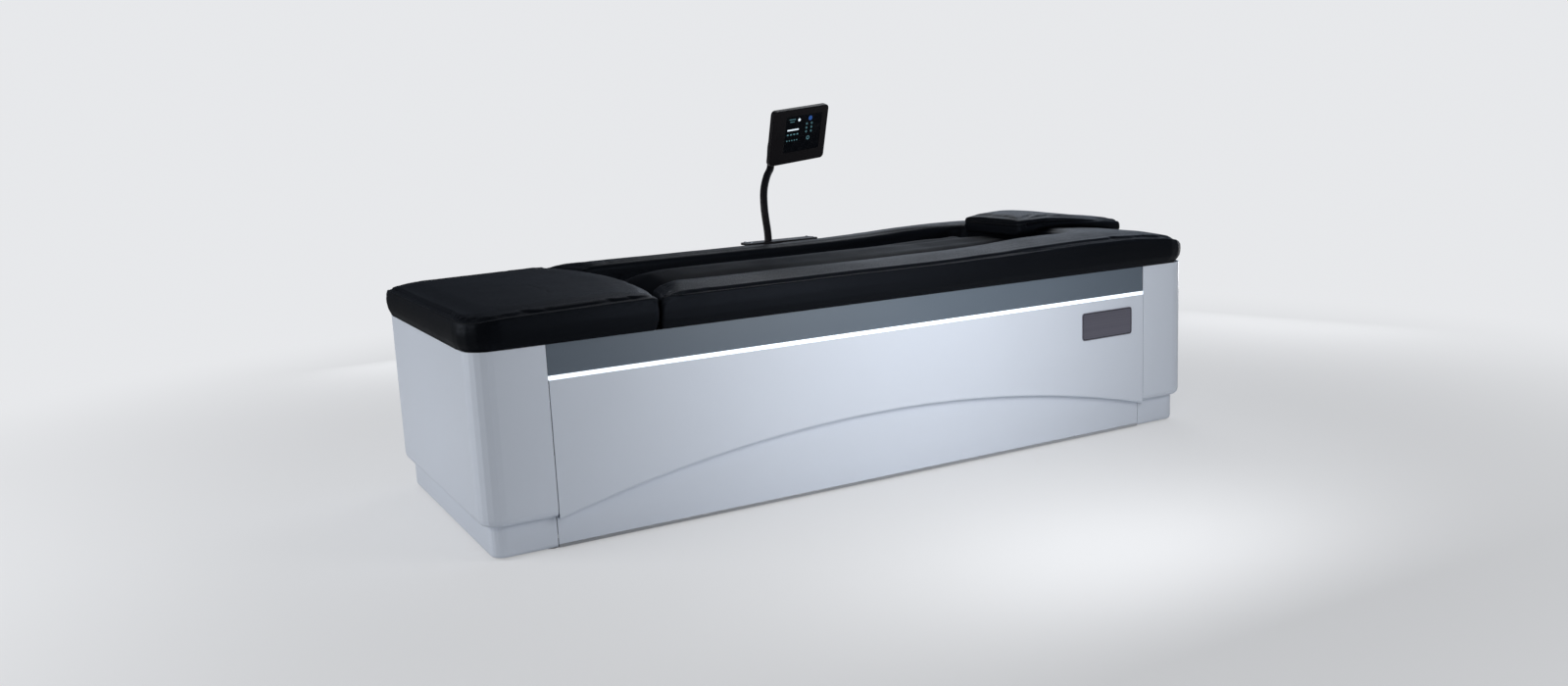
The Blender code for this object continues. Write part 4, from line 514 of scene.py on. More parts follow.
def grown(piece, tree, values):
    """Runs a tree on a piece with its named inputs set, and leaves a plain mesh."""
    growth = piece.modifiers.new(tree.name, "NODES")
    growth.node_group = tree
    for item in tree.interface.items_tree:
        if item.item_type == "SOCKET" and item.in_out == "INPUT" and item.name in values:
            growth[item.identifier] = values[item.name]
    piece.update_tag()
    bake_modifiers(piece)


def lines_piece(name, lines):
    """A mesh of edges only, one chain for each line."""
    points, edges = [], []
    for line in lines:
        first = len(points)
        points += [tuple(p) for p in line]
        edges += [(first + k, first + k + 1) for k in range(len(line) - 1)]
    mesh = bpy.data.meshes.new(name)
    mesh.from_pydata(points, edges, [])
    return linked(name, mesh)


def points_piece(name, places):
    """A mesh of points only, each with the direction that it faces."""
    mesh = bpy.data.meshes.new(name)
    mesh.from_pydata([tuple(p) for p, _ in places], [], [])
    facing = mesh.attributes.new("facing", "FLOAT_VECTOR", "POINT")
    facing.data.foreach_set("vector", [value for _, direction in places for value in direction])
    return linked(name, mesh)


# Shader groups

def new_group(name, inputs, outputs):
    return with_sockets(bpy.data.node_groups.new(name, "ShaderNodeTree"), inputs, outputs)


def eased(tree, value, start, end, low, high):
    """A value that eases from low to high while another goes from start to end."""
    return node(tree, "ShaderNodeMapRange", {
        "Value": value, "From Min": start, "From Max": end, "To Min": low, "To Max": high},
        interpolation_type="SMOOTHSTEP").outputs[0]


def maths(tree, operation, *values):
    return node(tree, "ShaderNodeMath", dict(enumerate(values)), operation=operation).outputs[0]


def vector_maths(tree, operation, *values):
    return node(tree, "ShaderNodeVectorMath", dict(enumerate(values)), operation=operation).outputs[0]


def noise_texture(tree, place, scale, output="Fac", **values):
    made = node(tree, "ShaderNodeTexNoise", {"Vector": place, "Scale": scale, **values})
    return made.outputs[output]


def wave_texture(tree, place, scale, bands, **values):
    made = node(tree, "ShaderNodeTexWave", {"Vector": place, "Scale": scale, **values},
                bands_direction=bands)
    return made.outputs["Fac"]


def grain_group():
    """Fine grain for bumps and slow, broad variation for colour and gloss."""
    group, given, out = new_group("grain and variation", (
        ("Position", "NodeSocketVector", None), ("Fine scale", "NodeSocketFloat", 400.0),
        ("Broad scale", "NodeSocketFloat", 4.0)),
        (("Fine", "NodeSocketFloat"), ("Broad", "NodeSocketFloat")))
    place, fine, broad = given.outputs[:3]
    wired(group, out, {"Fine": noise_texture(group, place, fine, Detail=3.0, Roughness=0.55),
                       "Broad": noise_texture(group, place, broad, Detail=4.0, Roughness=0.6)})
    return group


def pebble_group():
    """Pebbled grain of vinyl cloth: rounded cells with pores between them."""
    group, given, out = new_group("pebbled vinyl", (
        ("Position", "NodeSocketVector", None), ("Cell scale", "NodeSocketFloat", 420.0)),
        (("Height", "NodeSocketFloat"), ("Pores", "NodeSocketFloat")))
    place, scale = given.outputs[:2]
    warp = noise_texture(group, place, 150.0, "Color", Detail=2.0)
    moved = vector_maths(group, "ADD", place,
                         vector_maths(group, "MULTIPLY", warp, (0.004, 0.004, 0.004)))
    cells = node(group, "ShaderNodeTexVoronoi", {"Vector": moved, "Scale": scale},
                 feature="DISTANCE_TO_EDGE")
    dome = eased(group, cells.outputs["Distance"], 0.0, 0.28, 0.0, 1.0)
    wired(group, out, {"Height": dome, "Pores": maths(group, "SUBTRACT", 1.0, dome)})
    return group


def brushed_group():
    """Long fine lines of brushed or drawn metal."""
    group, given, out = new_group("brushed lines", (
        ("Position", "NodeSocketVector", None), ("Stretch", "NodeSocketVector", (6.0, 900.0, 900.0))),
        (("Height", "NodeSocketFloat"), ("Streaks", "NodeSocketFloat")))
    drawn = vector_maths(group, "MULTIPLY", given.outputs["Position"], given.outputs["Stretch"])
    wired(group, out, {"Height": noise_texture(group, drawn, 1.0, Detail=4.0, Roughness=0.7),
                       "Streaks": noise_texture(group, drawn, 0.11, Detail=2.0)})
    return group


def edge_group():
    """Rounded edges for shading."""
    group, given, out = new_group("rounded edges", (("Radius", "NodeSocketFloat", 0.001),),
                                  (("Normal", "NodeSocketVector"),))
    rounded = node(group, "ShaderNodeBevel", {"Radius": given.outputs["Radius"]}, samples=4)
    wired(group, out, {"Normal": rounded.outputs[0]})
    return group


def new_material(name):
    material = bpy.data.materials.new(name)
    tree = cleared_tree(material)
    shader = tree.nodes.new("ShaderNodeBsdfPrincipled")
    node(tree, "ShaderNodeOutputMaterial", {"Surface": shader.outputs[0]})
    place = tree.nodes.new("ShaderNodeTexCoord").outputs["Object"]
    return material, tree, shader, place


def filled(tree, group, values):
    """A shader group with its inputs filled or linked."""
    return node(tree, "ShaderNodeGroup", values, node_tree=group)


def shade(colour, factor):
    return tuple(min(1.0, channel * factor) for channel in colour) + (1.0,)


def blended(tree, mask, first, second):
    """A colour that passes from one to another by a mask."""
    mix = node(tree, "ShaderNodeMix", data_type="RGBA")
    wired(tree, mix, {"Factor": mask, "A": first, "B": second})
    return mix.outputs["Result"]


def varied_colour(tree, shader, mask, dark, light):
    wired(tree, shader, {"Base Color": blended(tree, mask, dark, light)})


def spread_over(tree, mask, low, high):
    """Spreads the middle of a noise over a range of values."""
    return node(tree, "ShaderNodeMapRange", {
        "Value": mask, "From Min": 0.3, "From Max": 0.7, "To Min": low, "To Max": high}).outputs[0]


def varied_roughness(tree, shader, mask, low, high):
    wired(tree, shader, {"Roughness": spread_over(tree, mask, low, high)})


def bumped(tree, shader, height, strength, distance, normal=None):
    bump = node(tree, "ShaderNodeBump", {"Height": height, "Strength": strength, "Distance": distance})
    if normal is not None:
        wired(tree, bump, {"Normal": normal})
    wired(tree, shader, {"Normal": bump.outputs[0]})


def grained_material(name, groups, colour, spread, roughness, fine_scale, broad_scale, strength,
                     distance, edge_radius=0.0008, sockets=()):
    """Moulded, painted or rubber surface: broad variation in colour and gloss, fine grain."""
    material, tree, shader, place = new_material(name)
    grain = filled(tree, groups["grain"], {
        "Position": place, "Fine scale": fine_scale, "Broad scale": broad_scale})
    edges = filled(tree, groups["edge"], {"Radius": edge_radius})
    broad = grain.outputs["Broad"]
    varied_colour(tree, shader, broad, shade(colour, 1 - spread), shade(colour, 1 + spread))
    varied_roughness(tree, shader, broad, *roughness)
    bumped(tree, shader, grain.outputs["Fine"], strength, distance, edges.outputs["Normal"])
    wired(tree, shader, sockets)
    return material


def brushed_material(name, groups, colour, roughness, stretch, strength, edge_radius=0.0006):
    """Bare metal with drawn lines."""
    material, tree, shader, place = new_material(name)
    lines = filled(tree, groups["brushed"], {"Position": place, "Stretch": stretch})
    edges = filled(tree, groups["edge"], {"Radius": edge_radius})
    varied_colour(tree, shader, lines.outputs["Streaks"], shade(colour, 0.82), shade(colour, 1.12))
    varied_roughness(tree, shader, lines.outputs["Height"], *roughness)
    bumped(tree, shader, lines.outputs["Height"], strength, 0.0002, edges.outputs["Normal"])
    wired(tree, shader, {"Metallic": 1.0})
    return material


def vinyl_material(groups, colour):
    """Black vinyl cloth: pebbled grain, dull pores, a slow change in gloss where it is worn smooth, a
    painted bluish reflection.
    """
    material, tree, shader, place = new_material("black vinyl cover")
    pebbles = filled(tree, groups["pebble"], {"Position": place, "Cell scale": 430.0})
    grain = filled(tree, groups["grain"], {"Position": place, "Fine scale": 900.0, "Broad scale": 3.2})
    varied_colour(tree, shader, grain.outputs["Broad"], shade(colour, 0.7), shade(colour, 1.3))
    gloss = spread_over(tree, grain.outputs["Broad"], 0.36, 0.48)
    dull = maths(tree, "MULTIPLY_ADD", pebbles.outputs["Pores"], 0.18, gloss)
    bumped(tree, shader, pebbles.outputs["Height"], 0.35, 0.0003)
    # The bluish Specular Tint is a painted reflection: it tints the vinyl's sheen blue under any lamp.
    wired(tree, shader, {"Roughness": dull, "Specular IOR Level": 0.12,
                         "Specular Tint": (0.66, 0.78, 1.0, 1.0)})
    return material


def membrane_material(groups, colour):
    """Rubber-coated cloth: a smooth skin with the weave just showing through, and a painted bluish
    reflection.
    """
    material, tree, shader, place = new_material("black membrane skin")
    grain = filled(tree, groups["grain"], {"Position": place, "Fine scale": 700.0, "Broad scale": 5.0})
    weave = wave_texture(tree, place, 260.0, "DIAGONAL", Distortion=0.6)
    both = maths(tree, "MULTIPLY_ADD", weave, 0.4, grain.outputs["Fine"])
    varied_colour(tree, shader, grain.outputs["Broad"], shade(colour, 0.75), shade(colour, 1.25))
    varied_roughness(tree, shader, grain.outputs["Broad"], 0.52, 0.66)
    bumped(tree, shader, both, 0.25, 0.0002)
    # The bluish Specular Tint is a painted reflection: it tints the membrane's sheen blue under any
    # lamp.
    wired(tree, shader, {"Specular IOR Level": 0.035, "Specular Tint": (0.80, 0.88, 1.0, 1.0)})
    return material


def lit_material(name, colour, strength, texture, dim, base, roughness):
    """A lit surface whose glow varies a little with a texture of its own."""
    material, tree, shader, place = new_material(name)
    mask = texture(tree, place)
    varied_colour(tree, shader, mask, shade(colour, base[0]), shade(colour, base[1]))
    wired(tree, shader, {
        "Emission Color": blended(tree, mask, shade(colour, dim), shade(colour, 1.0)),
        "Emission Strength": strength, "Roughness": roughness})
    return material


def light_material(colour, strength):
    """Opal lens of the lit strip, a little brighter over each lamp behind it."""
    return lit_material("lit opal lens", colour, strength,
                        lambda tree, place: wave_texture(tree, place, 19.0, "X"), 0.93, (0.9, 1.0), 0.45)


def glow_material(name, colour, brightness):
    """One colour of the lit marks on the screen, with the display's fine cells."""
    return lit_material(name, colour, brightness,
                        lambda tree, place: noise_texture(tree, place, 900.0), 0.85, (0.2, 0.25), 0.3)


def wood_material():
    """Film-faced plywood: a dark brown film with the wood's grain just showing through."""
    material, tree, shader, place = new_material("film-faced plywood")
    long_way = vector_maths(tree, "MULTIPLY", place, (0.6, 9.0, 60.0))
    rings = noise_texture(tree, long_way, 3.0, Detail=6.0, Distortion=0.8)
    varied_colour(tree, shader, rings, (0.020, 0.014, 0.011, 1), (0.034, 0.025, 0.019, 1))
    varied_roughness(tree, shader, rings, 0.42, 0.58)
    bumped(tree, shader, rings, 0.2, 0.0004)
    return material


def glass_material():
    """Dark cover glass of the touch screen, with faint finger marks in its gloss."""
    material, tree, shader, place = new_material("dark screen glass")
    smears = noise_texture(tree, place, 38.0, Detail=5.0, Distortion=1.6)
    varied_colour(tree, shader, smears, (0.004, 0.005, 0.007, 1), (0.007, 0.008, 0.011, 1))
    varied_roughness(tree, shader, smears, 0.14, 0.26)
    wired(tree, shader, {"Specular IOR Level": 0.35})
    return material


def thread_material(colour):
    material, tree, shader, place = new_material("seam thread")
    twist = wave_texture(tree, place, 500.0, "DIAGONAL")
    varied_colour(tree, shader, twist, shade(colour, 0.6), shade(colour, 1.4))
    bumped(tree, shader, twist, 0.4, 0.0002)
    wired(tree, shader, {"Roughness": 0.55})
    return material


# Colour, its spread, roughness, fine and broad grain, the bump's strength and depth
PAINTED = {
    "steel_frame": ("powder-coated steel", (0.16, 0.17, 0.18), 0.06, (0.42, 0.54), 320.0, 6.0, 0.16,
                    0.0004),
    "black_rubber": ("black rubber", (0.016, 0.016, 0.017), 0.25, (0.62, 0.78), 600.0, 12.0, 0.2,
                     0.0003),
    "tub_plastic": ("grey tub plastic", (0.56, 0.59, 0.62), 0.03, (0.34, 0.44), 300.0, 4.0, 0.08,
                    0.0004),
    "pump_paint": ("blue pump paint", (0.05, 0.10, 0.20), 0.1, (0.32, 0.46), 380.0, 9.0, 0.2, 0.0004),
}
BLACK_PLASTIC = ((0.007, 0.006, 0.008), 0.2, (0.44, 0.56), 1100.0, 10.0, 0.16, 0.0002)
PLATE_BORDER = ((0.03, 0.03, 0.035), 0.15, (0.4, 0.5), 800.0, 20.0, 0.1, 0.0002, 0.0001)
# Colour, roughness, how the lines are drawn out, the bump's strength
BARE = {
    "valve_brass": ("turned brass", (0.62, 0.46, 0.22), (0.24, 0.36), (300.0, 300.0, 300.0), 0.15),
    "brushed_plate": ("brushed name plate", (0.31, 0.30, 0.36), (0.30, 0.46), (9.0, 1.0, 1500.0), 0.25),
    "bright_aluminium": ("drawn aluminium", (0.66, 0.67, 0.69), (0.26, 0.38), (5.0, 1100.0, 1100.0),
                         0.15),
    "bright_steel": ("bright steel", (0.60, 0.61, 0.63), (0.14, 0.24), (8.0, 1300.0, 1300.0), 0.1),
}


def table_materials(settings):
    """Every finish of the table by its slot's name."""
    groups = {"grain": grain_group(), "pebble": pebble_group(), "brushed": brushed_group(),
              "edge": edge_group()}
    shell, edge = settings.shell, settings.shell.edge_radius
    made = {slot: grained_material(name, groups, *row) for slot, (name, *row) in PAINTED.items()}
    made.update({slot: brushed_material(name, groups, *row) for slot, (name, *row) in BARE.items()})
    made.update({
        "white_shell": grained_material(
            "white moulded shell", groups, shell.shell, 0.018, (0.30, 0.38), 260.0, 2.4, 0.05, 0.0004,
            edge, {"Coat Weight": 0.12, "Coat Roughness": 0.18}),
        # The fascia's colour holds painted shade from the cushions' overhang on top of its own grey.
        "grey_fascia": grained_material(
            "grey fascia", groups, shell.fascia, 0.03, (0.40, 0.50), 520.0, 3.0, 0.08, 0.0003, edge),
        "black_plastic": grained_material(
            "black moulded plastic", groups, *BLACK_PLASTIC, sockets={"Specular IOR Level": 0.16}),
        "black_vinyl": vinyl_material(groups, settings.cushion.vinyl),
        "black_membrane": membrane_material(groups, settings.membrane.colour),
        "light_lens": light_material(shell.light, shell.light_strength),
        "plywood": wood_material(),
        "screen_glass": glass_material(),
    })
    return made


# The kinds of pieces

def finish_of(slot):
    """The finish that the finishing operator made for a slot."""
    for material in bpy.data.materials:
        if material.get("table_slot") == slot:
            return material
    raise RuntimeError("the frame's finishes come first: no finish for " + slot)


class TABLE_OT_finish_frame(bpy.types.Operator):
    """Give every carried-over piece of the frame its finish"""
    bl_idname = "massage_table.finish_frame"
    bl_label = "Finish the Frame"

    def execute(self, context):
        made = table_materials(context.scene.massage_table)
        for slot, material in made.items():
            material["table_slot"] = slot
        for name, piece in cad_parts.items():
            for holder in piece.material_slots:
                slot = holder.material.name.split(".")[0]
                if slot not in made:
                    raise RuntimeError(name + " has a finish that is not known: " + slot)
                holder.material = made[slot]
        return {"FINISHED"}


PAD_BASE = 0.5135
PAD_HALF_LENGTH = 1.145
PAD_HALF_WIDTH = 0.4475
PAD_CORNER = 0.090
PAD_TIGHTNESS = 0.2
PAD_WAVES = (0.0012, 0.16)
RIM_RISE = 0.0038
RIM_BAND = (0.005, 0.025)
RIM_LEVEL = (0.560, 0.580)
RIM_DIP = 0.0014
DIP_INSET = 0.055
DIP_WIDTH = 0.020
CREASE_ABOVE = 0.03
ARC_MIDDLE_X = -1.88
ARC_RADIUS = 1.3
ARC_OFFSET = 0.012
WELL_HALF_WIDTH = 0.27
WELL_HEAD_X = 0.78
WELL_CORNER = 0.060
SEAM_DROP = 0.0080
SEAM_INSET = 0.022
SEAM_MIDDLE = 0.0021
SEAM_CLOSE = 0.0019
SEAM_GAP = 0.0003
SEAM_REACH = (0.004, 0.012)
SEAM_PITCH = 0.0015
ROW_PITCH = 0.003
ROW_LIFT = 0.0003
ROW_INSET = 0.0085
ROW_END = 0.016
ROW_OFF_ARC = 0.011
ROW_OFF_WELL = 0.014


def arc_x(y, offset=0.0):
    radius = ARC_RADIUS + offset
    return ARC_MIDDLE_X + math.sqrt(radius * radius - y * y)


def pad_cover(node_name, name, settings):
    """A pad's cover, blown up and eased over its foam, before it is sewn."""
    piece = soft_cover(node_name, name, settings.pad_voxel, settings.pad_swell, PAD_TIGHTNESS, PAD_BASE)
    edged(piece, settings.edge_fill)
    uneven(piece, *PAD_WAVES, PAD_BASE)
    pressed(piece)
    return piece


def within(values, low, high):
    """How far values have come from a low to a high bound, from 0 to 1."""
    return np.clip((values - low) / (high - low), 0, 1)


def edged(piece, depth):
    """Fills a pad's upper edge out, so that its top ends in a clear crease."""
    mesh = piece.data
    points = points_of(mesh)
    inset = np.minimum(PAD_HALF_LENGTH - np.abs(points[:, 0]), PAD_HALF_WIDTH - np.abs(points[:, 1]))
    rise = RIM_RISE * (1 - within(inset, *RIM_BAND))
    dip = RIM_DIP * np.exp(-((inset - DIP_INSET) / DIP_WIDTH) ** 2)
    points[:, 2] += within(points[:, 2], *RIM_LEVEL) * (rise - dip)
    set_points(mesh, points)
    points, normals = points_of(mesh), normals_of(mesh)
    steep = np.clip(normals[:, 2], 0, 1)
    share = 4 * steep ** 2 * (1 - steep ** 2)
    out = np.maximum(np.abs(points[:, 0]) - (PAD_HALF_LENGTH - PAD_CORNER),
                     np.abs(points[:, 1]) - (PAD_HALF_WIDTH - PAD_CORNER))
    share *= within(out, 0, 0.5 * PAD_CORNER) * (points[:, 2] > PAD_BASE + CREASE_ABOVE)
    set_points(mesh, points + normals * (depth * share)[:, None])


def pressed(piece):
    """Presses the two pads together along the arc seam, so that no gap shows between them."""
    mesh = piece.data
    points = points_of(mesh)
    away_x = points[:, 0] - ARC_MIDDLE_X
    radius = np.hypot(away_x, points[:, 1])
    off = radius - (ARC_RADIUS + SEAM_MIDDLE)
    side = np.where(off > 0, 1.0, -1.0)
    share = 1 - within(np.abs(off), *SEAM_REACH)
    kept = np.maximum(np.abs(off) - SEAM_CLOSE * share, SEAM_GAP)
    new_radius = ARC_RADIUS + SEAM_MIDDLE + side * kept
    points[:, 0] = ARC_MIDDLE_X + away_x * new_radius / radius
    points[:, 1] *= new_radius / radius
    set_points(mesh, points)


def arc_places(offset, low, high):
    """Places in plan along the arc seam, a given way off it."""
    steps = max(2, int((high - low) / PLAN_PITCH))
    return [(arc_x(y, offset), y) for y in (low + (high - low) * k / steps for k in range(steps + 1))]


def stitched(name, lines, settings, body):
    """Rows of stitches along lines on a cover."""
    piece = lines_piece(name, [spaced(line, ROW_PITCH) for line in lines])
    tree = bpy.data.node_groups.get("stitches along a seam") or stitch_tree()
    grown(piece, tree, {
        "Pitch": settings.stitch_pitch, "Length": settings.stitch_length,
        "Width": settings.thread_width, "Material": finish_of("seam_thread")})
    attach(piece, body)
    return piece


class TABLE_OT_upholster_pads(bpy.types.Operator):
    """Make the foot pad's and the surround pad's covers with their sewn seams"""
    bl_idname = "massage_table.upholster_pads"
    bl_label = "Upholster the Pads"

    def execute(self, context):
        settings = context.scene.massage_table.cushion
        vinyl = finish_of("black_vinyl")
        thread_material(settings.thread)["table_slot"] = "seam_thread"
        surround = pad_cover("surround_pad", "surround_cushion", settings)
        foot = pad_cover("foot_pad", "foot_cushion", settings)
        seam_x = arc_x(PAD_HALF_WIDTH)
        rows = []
        for piece, start_x, end_x in ((surround, seam_x + ARC_OFFSET, PAD_HALF_LENGTH),
                                      (foot, seam_x - ARC_OFFSET, -PAD_HALF_LENGTH)):
            plan = bow(start_x, end_x, PAD_HALF_WIDTH, PAD_CORNER)
            side = spaced(side_line(surface_of(piece), plan, SEAM_INSET, SEAM_DROP), SEAM_PITCH)
            sewn(piece, side, settings.channel_depth, settings.channel_width)
            rows.append(top_line(surface_of(piece), inset_plan(plan, ROW_INSET)))
        well_x = arc_x(WELL_HALF_WIDTH, ARC_OFFSET)
        well_plan = bow(well_x, WELL_HEAD_X, WELL_HALF_WIDTH, WELL_CORNER)
        reach, gap = PAD_HALF_WIDTH - ROW_END, WELL_HALF_WIDTH + ROW_OFF_WELL
        for piece, places in (
                (surround, inset_plan(well_plan, -ARC_OFFSET)),
                (foot, arc_places(-ROW_OFF_ARC, -reach, reach)),
                (surround, arc_places(ROW_OFF_ARC, -reach, -gap)),
                (surround, arc_places(ROW_OFF_ARC, gap, reach))):
            rows.append(top_line(surface_of(piece), places))
        for piece, node_name in ((surround, "surround_pad"), (foot, "foot_pad")):
            only_material(piece, vinyl)
            smooth_shaded(piece)
            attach(piece, "table")
            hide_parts(node_name)
        stitched("pad_stitches", rows, settings, "table")
        return {"FINISHED"}


PILLOW_BASE = 0.6055
PILLOW_X = (0.702, 1.130)
PILLOW_HALF_WIDTH = 0.148
PILLOW_CORNER = 0.030
PILLOW_TIGHTNESS = 0.15
PILLOW_WAVES = (0.0022, 0.09)
PILLOW_REACH = 0.03
FOOT_FILL = (0.012, 0.095)
HEAD_FILL = (0.036, 0.006)
HEAD_FILL_SHARE = 0.7
FILL_BAND = (0.006, 0.012)
SIDE_SEAM = (0.0026, 0.0042)
TUCK = (0.0050, 0.0070)
TUCK_X = (0.738, 0.805)
PILLOW_ROW_ABOVE = 0.006
PILLOW_ROW_LIFT = 0.0002


def side_seam_height(x):
    """Height of the pillow's side seam, under the neck roll and down the slope of the head end."""
    across = (0.702, 0.735, 0.780, 0.836, 0.922, 1.026, 1.098, 1.130)
    height = (0.634, 0.638, 0.640, 0.6394, 0.6354, 0.6310, 0.6260, 0.6220)
    return float(np.interp(x, across, height))


def plumped(piece, lift):
    """Fills out the pillow's top towards its two ends."""
    mesh = piece.data
    points = points_of(mesh)
    for k, (x, _, z) in enumerate(points):
        foot = 1 - smooth_step(x, PILLOW_X[0] + FOOT_FILL[0], PILLOW_X[0] + FOOT_FILL[1])
        head = HEAD_FILL_SHARE * smooth_step(x, PILLOW_X[1] - HEAD_FILL[0], PILLOW_X[1] - HEAD_FILL[1])
        seam = side_seam_height(x)
        upper = smooth_step(z, seam - FILL_BAND[0], seam + FILL_BAND[1])
        points[k, 2] += lift * max(foot, head) * upper
    set_points(mesh, points)


class TABLE_OT_plump_pillow(bpy.types.Operator):
    """Make the head pillow's cover with its side seam and the tuck under the neck roll"""
    bl_idname = "massage_table.plump_pillow"
    bl_label = "Plump the Pillow"

    def execute(self, context):
        settings = context.scene.massage_table.cushion
        piece = soft_cover("pillow", "head_pillow", settings.pillow_voxel, settings.pillow_swell,
                           PILLOW_TIGHTNESS, PILLOW_BASE)
        plumped(piece, settings.pillow_fill)
        uneven(piece, *PILLOW_WAVES, PILLOW_BASE)
        surface = surface_of(piece)
        middle, half = 0.5 * (PILLOW_X[0] + PILLOW_X[1]), 0.5 * (PILLOW_X[1] - PILLOW_X[0])
        start_x = -0.2 * half
        plan = bow(start_x, half, PILLOW_HALF_WIDTH, PILLOW_CORNER)
        plan += reversed(bow(start_x, -half, PILLOW_HALF_WIDTH, PILLOW_CORNER))
        hits = []
        for x, y, out_x, out_y in plan:
            start = Vector((middle + x + out_x * PILLOW_REACH, y + out_y * PILLOW_REACH,
                            side_seam_height(middle + x)))
            hits.append(surface.ray_cast(start, Vector((-out_x, -out_y, 0)), 3 * PILLOW_REACH)[0])
        seam = spaced([hit for hit in hits if hit is not None], SEAM_PITCH, closed=True)
        sewn(piece, seam, *SIDE_SEAM)
        tuck = [p for p in seam if TUCK_X[0] < p.x < TUCK_X[1] and abs(p.y) > 0.8 * PILLOW_HALF_WIDTH]
        sewn(piece, tuck, *TUCK)
        surface = surface_of(piece)
        row = []
        for point in seam:
            hit = surface.find_nearest(point + Vector((0, 0, PILLOW_ROW_ABOVE)))
            row.append(hit[0] + hit[1] * PILLOW_ROW_LIFT)
        only_material(piece, finish_of("black_vinyl"))
        smooth_shaded(piece)
        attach(piece, "pillow")
        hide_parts("pillow")
        stitched("pillow_stitches", [row], settings, "pillow")
        return {"FINISHED"}


def smooth_step(value, low, high):
    t = min(1.0, max(0.0, (value - low) / (high - low)))
    return t * t * (3 - 2 * t)


def hump(value, middle, width):
    return math.exp(-((value - middle) / width) ** 2)


WELL_CORNERS = ((-0.60, -0.26), (-0.60, 0.26), (0.74, -0.25), (0.74, 0.25))


def membrane_fold(x, y, settings):
    """How far the slack membrane stands off its smooth dome."""
    middle = 1 - smooth_step(abs(y), 0.20, 0.27)
    inside = middle * smooth_step(x, -0.60, -0.48) * (1 - smooth_step(x, 0.66, 0.76))
    grow = smooth_step(x, 0.26, 0.58)
    line = 0.105 + 0.116 * (x - 0.35)
    lift = settings.long_fold * grow * hump(y, line, 0.030)
    lift -= 0.55 * settings.long_fold * grow * hump(y, line - 0.052, 0.024)
    lift += 0.35 * settings.long_fold * smooth_step(x, 0.0, 0.4) * hump(y, -0.125 + 0.05 * x, 0.022)
    small = 0.0
    for corner_x, corner_y in WELL_CORNERS:
        away = math.hypot(x - corner_x, y - corner_y)
        angle = math.atan2(y - corner_y, x - corner_x)
        small += math.cos(9 * angle + 1.3 * corner_x) * hump(away, 0.13, 0.09)
    small += 0.6 * noise.noise(Vector((x * 3.2, y * 12.0, 0.4)))
    ends = middle * (1 - smooth_step(x, 0.64, 0.715))
    return lift * ends + settings.small_folds * small * inside


MEMBRANE_EDGE = 0.0006
MEMBRANE_EASING = 3


class TABLE_OT_stretch_membrane(bpy.types.Operator):
    """Lay the membrane over the water, with its slack folds, into the clamp frame"""
    bl_idname = "massage_table.stretch_membrane"
    bl_label = "Stretch the Membrane"

    def execute(self, context):
        settings = context.scene.massage_table.membrane
        low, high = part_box("membrane")
        source = cad_copy("membrane", "membrane_form")
        surface = surface_of(source)
        spans = []
        for k in (0, 1):
            count = int(round((high[k] - low[k]) / settings.cell))
            first, span = low[k] + MEMBRANE_EDGE, high[k] - low[k] - 2 * MEMBRANE_EDGE
            spans.append([first + span * i / count for i in range(count + 1)])
        tops = [[top_at(surface, x, y) for y in spans[1]] for x in spans[0]]
        heights = np.array([[top.z if top is not None else low.z + settings.thickness
                             for top in column] for column in tops])
        for _ in range(MEMBRANE_EASING):
            heights[1:-1, 1:-1] = 0.5 * heights[1:-1, 1:-1] + 0.125 * (
                heights[2:, 1:-1] + heights[:-2, 1:-1] + heights[1:-1, 2:] + heights[1:-1, :-2])
        form = bmesh.new()
        grid = [[form.verts.new((x, y, heights[i, j] + membrane_fold(x, y, settings)))
                 for j, y in enumerate(spans[1])] for i, x in enumerate(spans[0])]
        for here, beyond in zip(grid, grid[1:]):
            for j in range(len(here) - 1):
                form.faces.new((here[j], beyond[j], beyond[j + 1], here[j + 1]))
        area = sum(face.calc_area() for face in form.faces)
        piece = linked("membrane_sheet", mesh_of(form, "membrane_sheet"))
        bpy.data.objects.remove(source)
        finer = piece.modifiers.new("finer skin", "SUBSURF")
        finer.levels = finer.render_levels = 1
        skin = piece.modifiers.new("skin", "SOLIDIFY")
        skin.thickness = settings.thickness
        skin.offset = -1
        bake_modifiers(piece)
        only_material(piece, finish_of("black_membrane"))
        smooth_shaded(piece)
        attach(piece, "table")
        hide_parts("membrane")
        return {"FINISHED"}


# Flat shapes on the screen and the plate

def face_frame(node_name, towards):
    """The middle, directions and size of a node's widest flat face that looks a given way."""
    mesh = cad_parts[node_name].data
    sums = {}
    for face in mesh.polygons:
        if face.normal.dot(towards) > 0.5:
            key = tuple(round(v, 2) for v in face.normal)
            sums.setdefault(key, []).append(face)
    widest = max(sums.values(), key=lambda faces: sum(face.area for face in faces))
    out = widest[0].normal.copy()
    corners = np.array([mesh.vertices[i].co for face in widest for i in face.vertices])
    corners = np.unique(corners.round(6), axis=0)
    spread = corners - corners.mean(axis=0)
    across = Vector(np.linalg.svd(spread, full_matrices=False)[2][0])
    across = (across - out * across.dot(out)).normalized()
    if across.x < 0:
        across.negate()
    up = out.cross(across)
    if up.z < 0:
        up.negate()
    local = np.stack([spread @ np.array(across), spread @ np.array(up)], axis=1)
    low, high = local.min(axis=0), local.max(axis=0)
    shift = 0.5 * (low + high)
    centre = corners.mean(axis=0) + np.array(across) * shift[0] + np.array(up) * shift[1]
    width, height = high - low
    return Vector(centre), across, up, out, float(width), float(height)


def strip(form, first, second):
    """A band of faces between two rings of as many points."""
    count = len(first)
    for k in range(count):
        n = (k + 1) % count
        form.faces.new((first[k], first[n], second[n], second[k]))


MARK_THICKNESS = 0.0002
MARK_LIFT = 0.0001
BORDER_INSET = 0.0025
BORDER_WIDTH = 0.0016
BORDER_CORNER = 0.0070


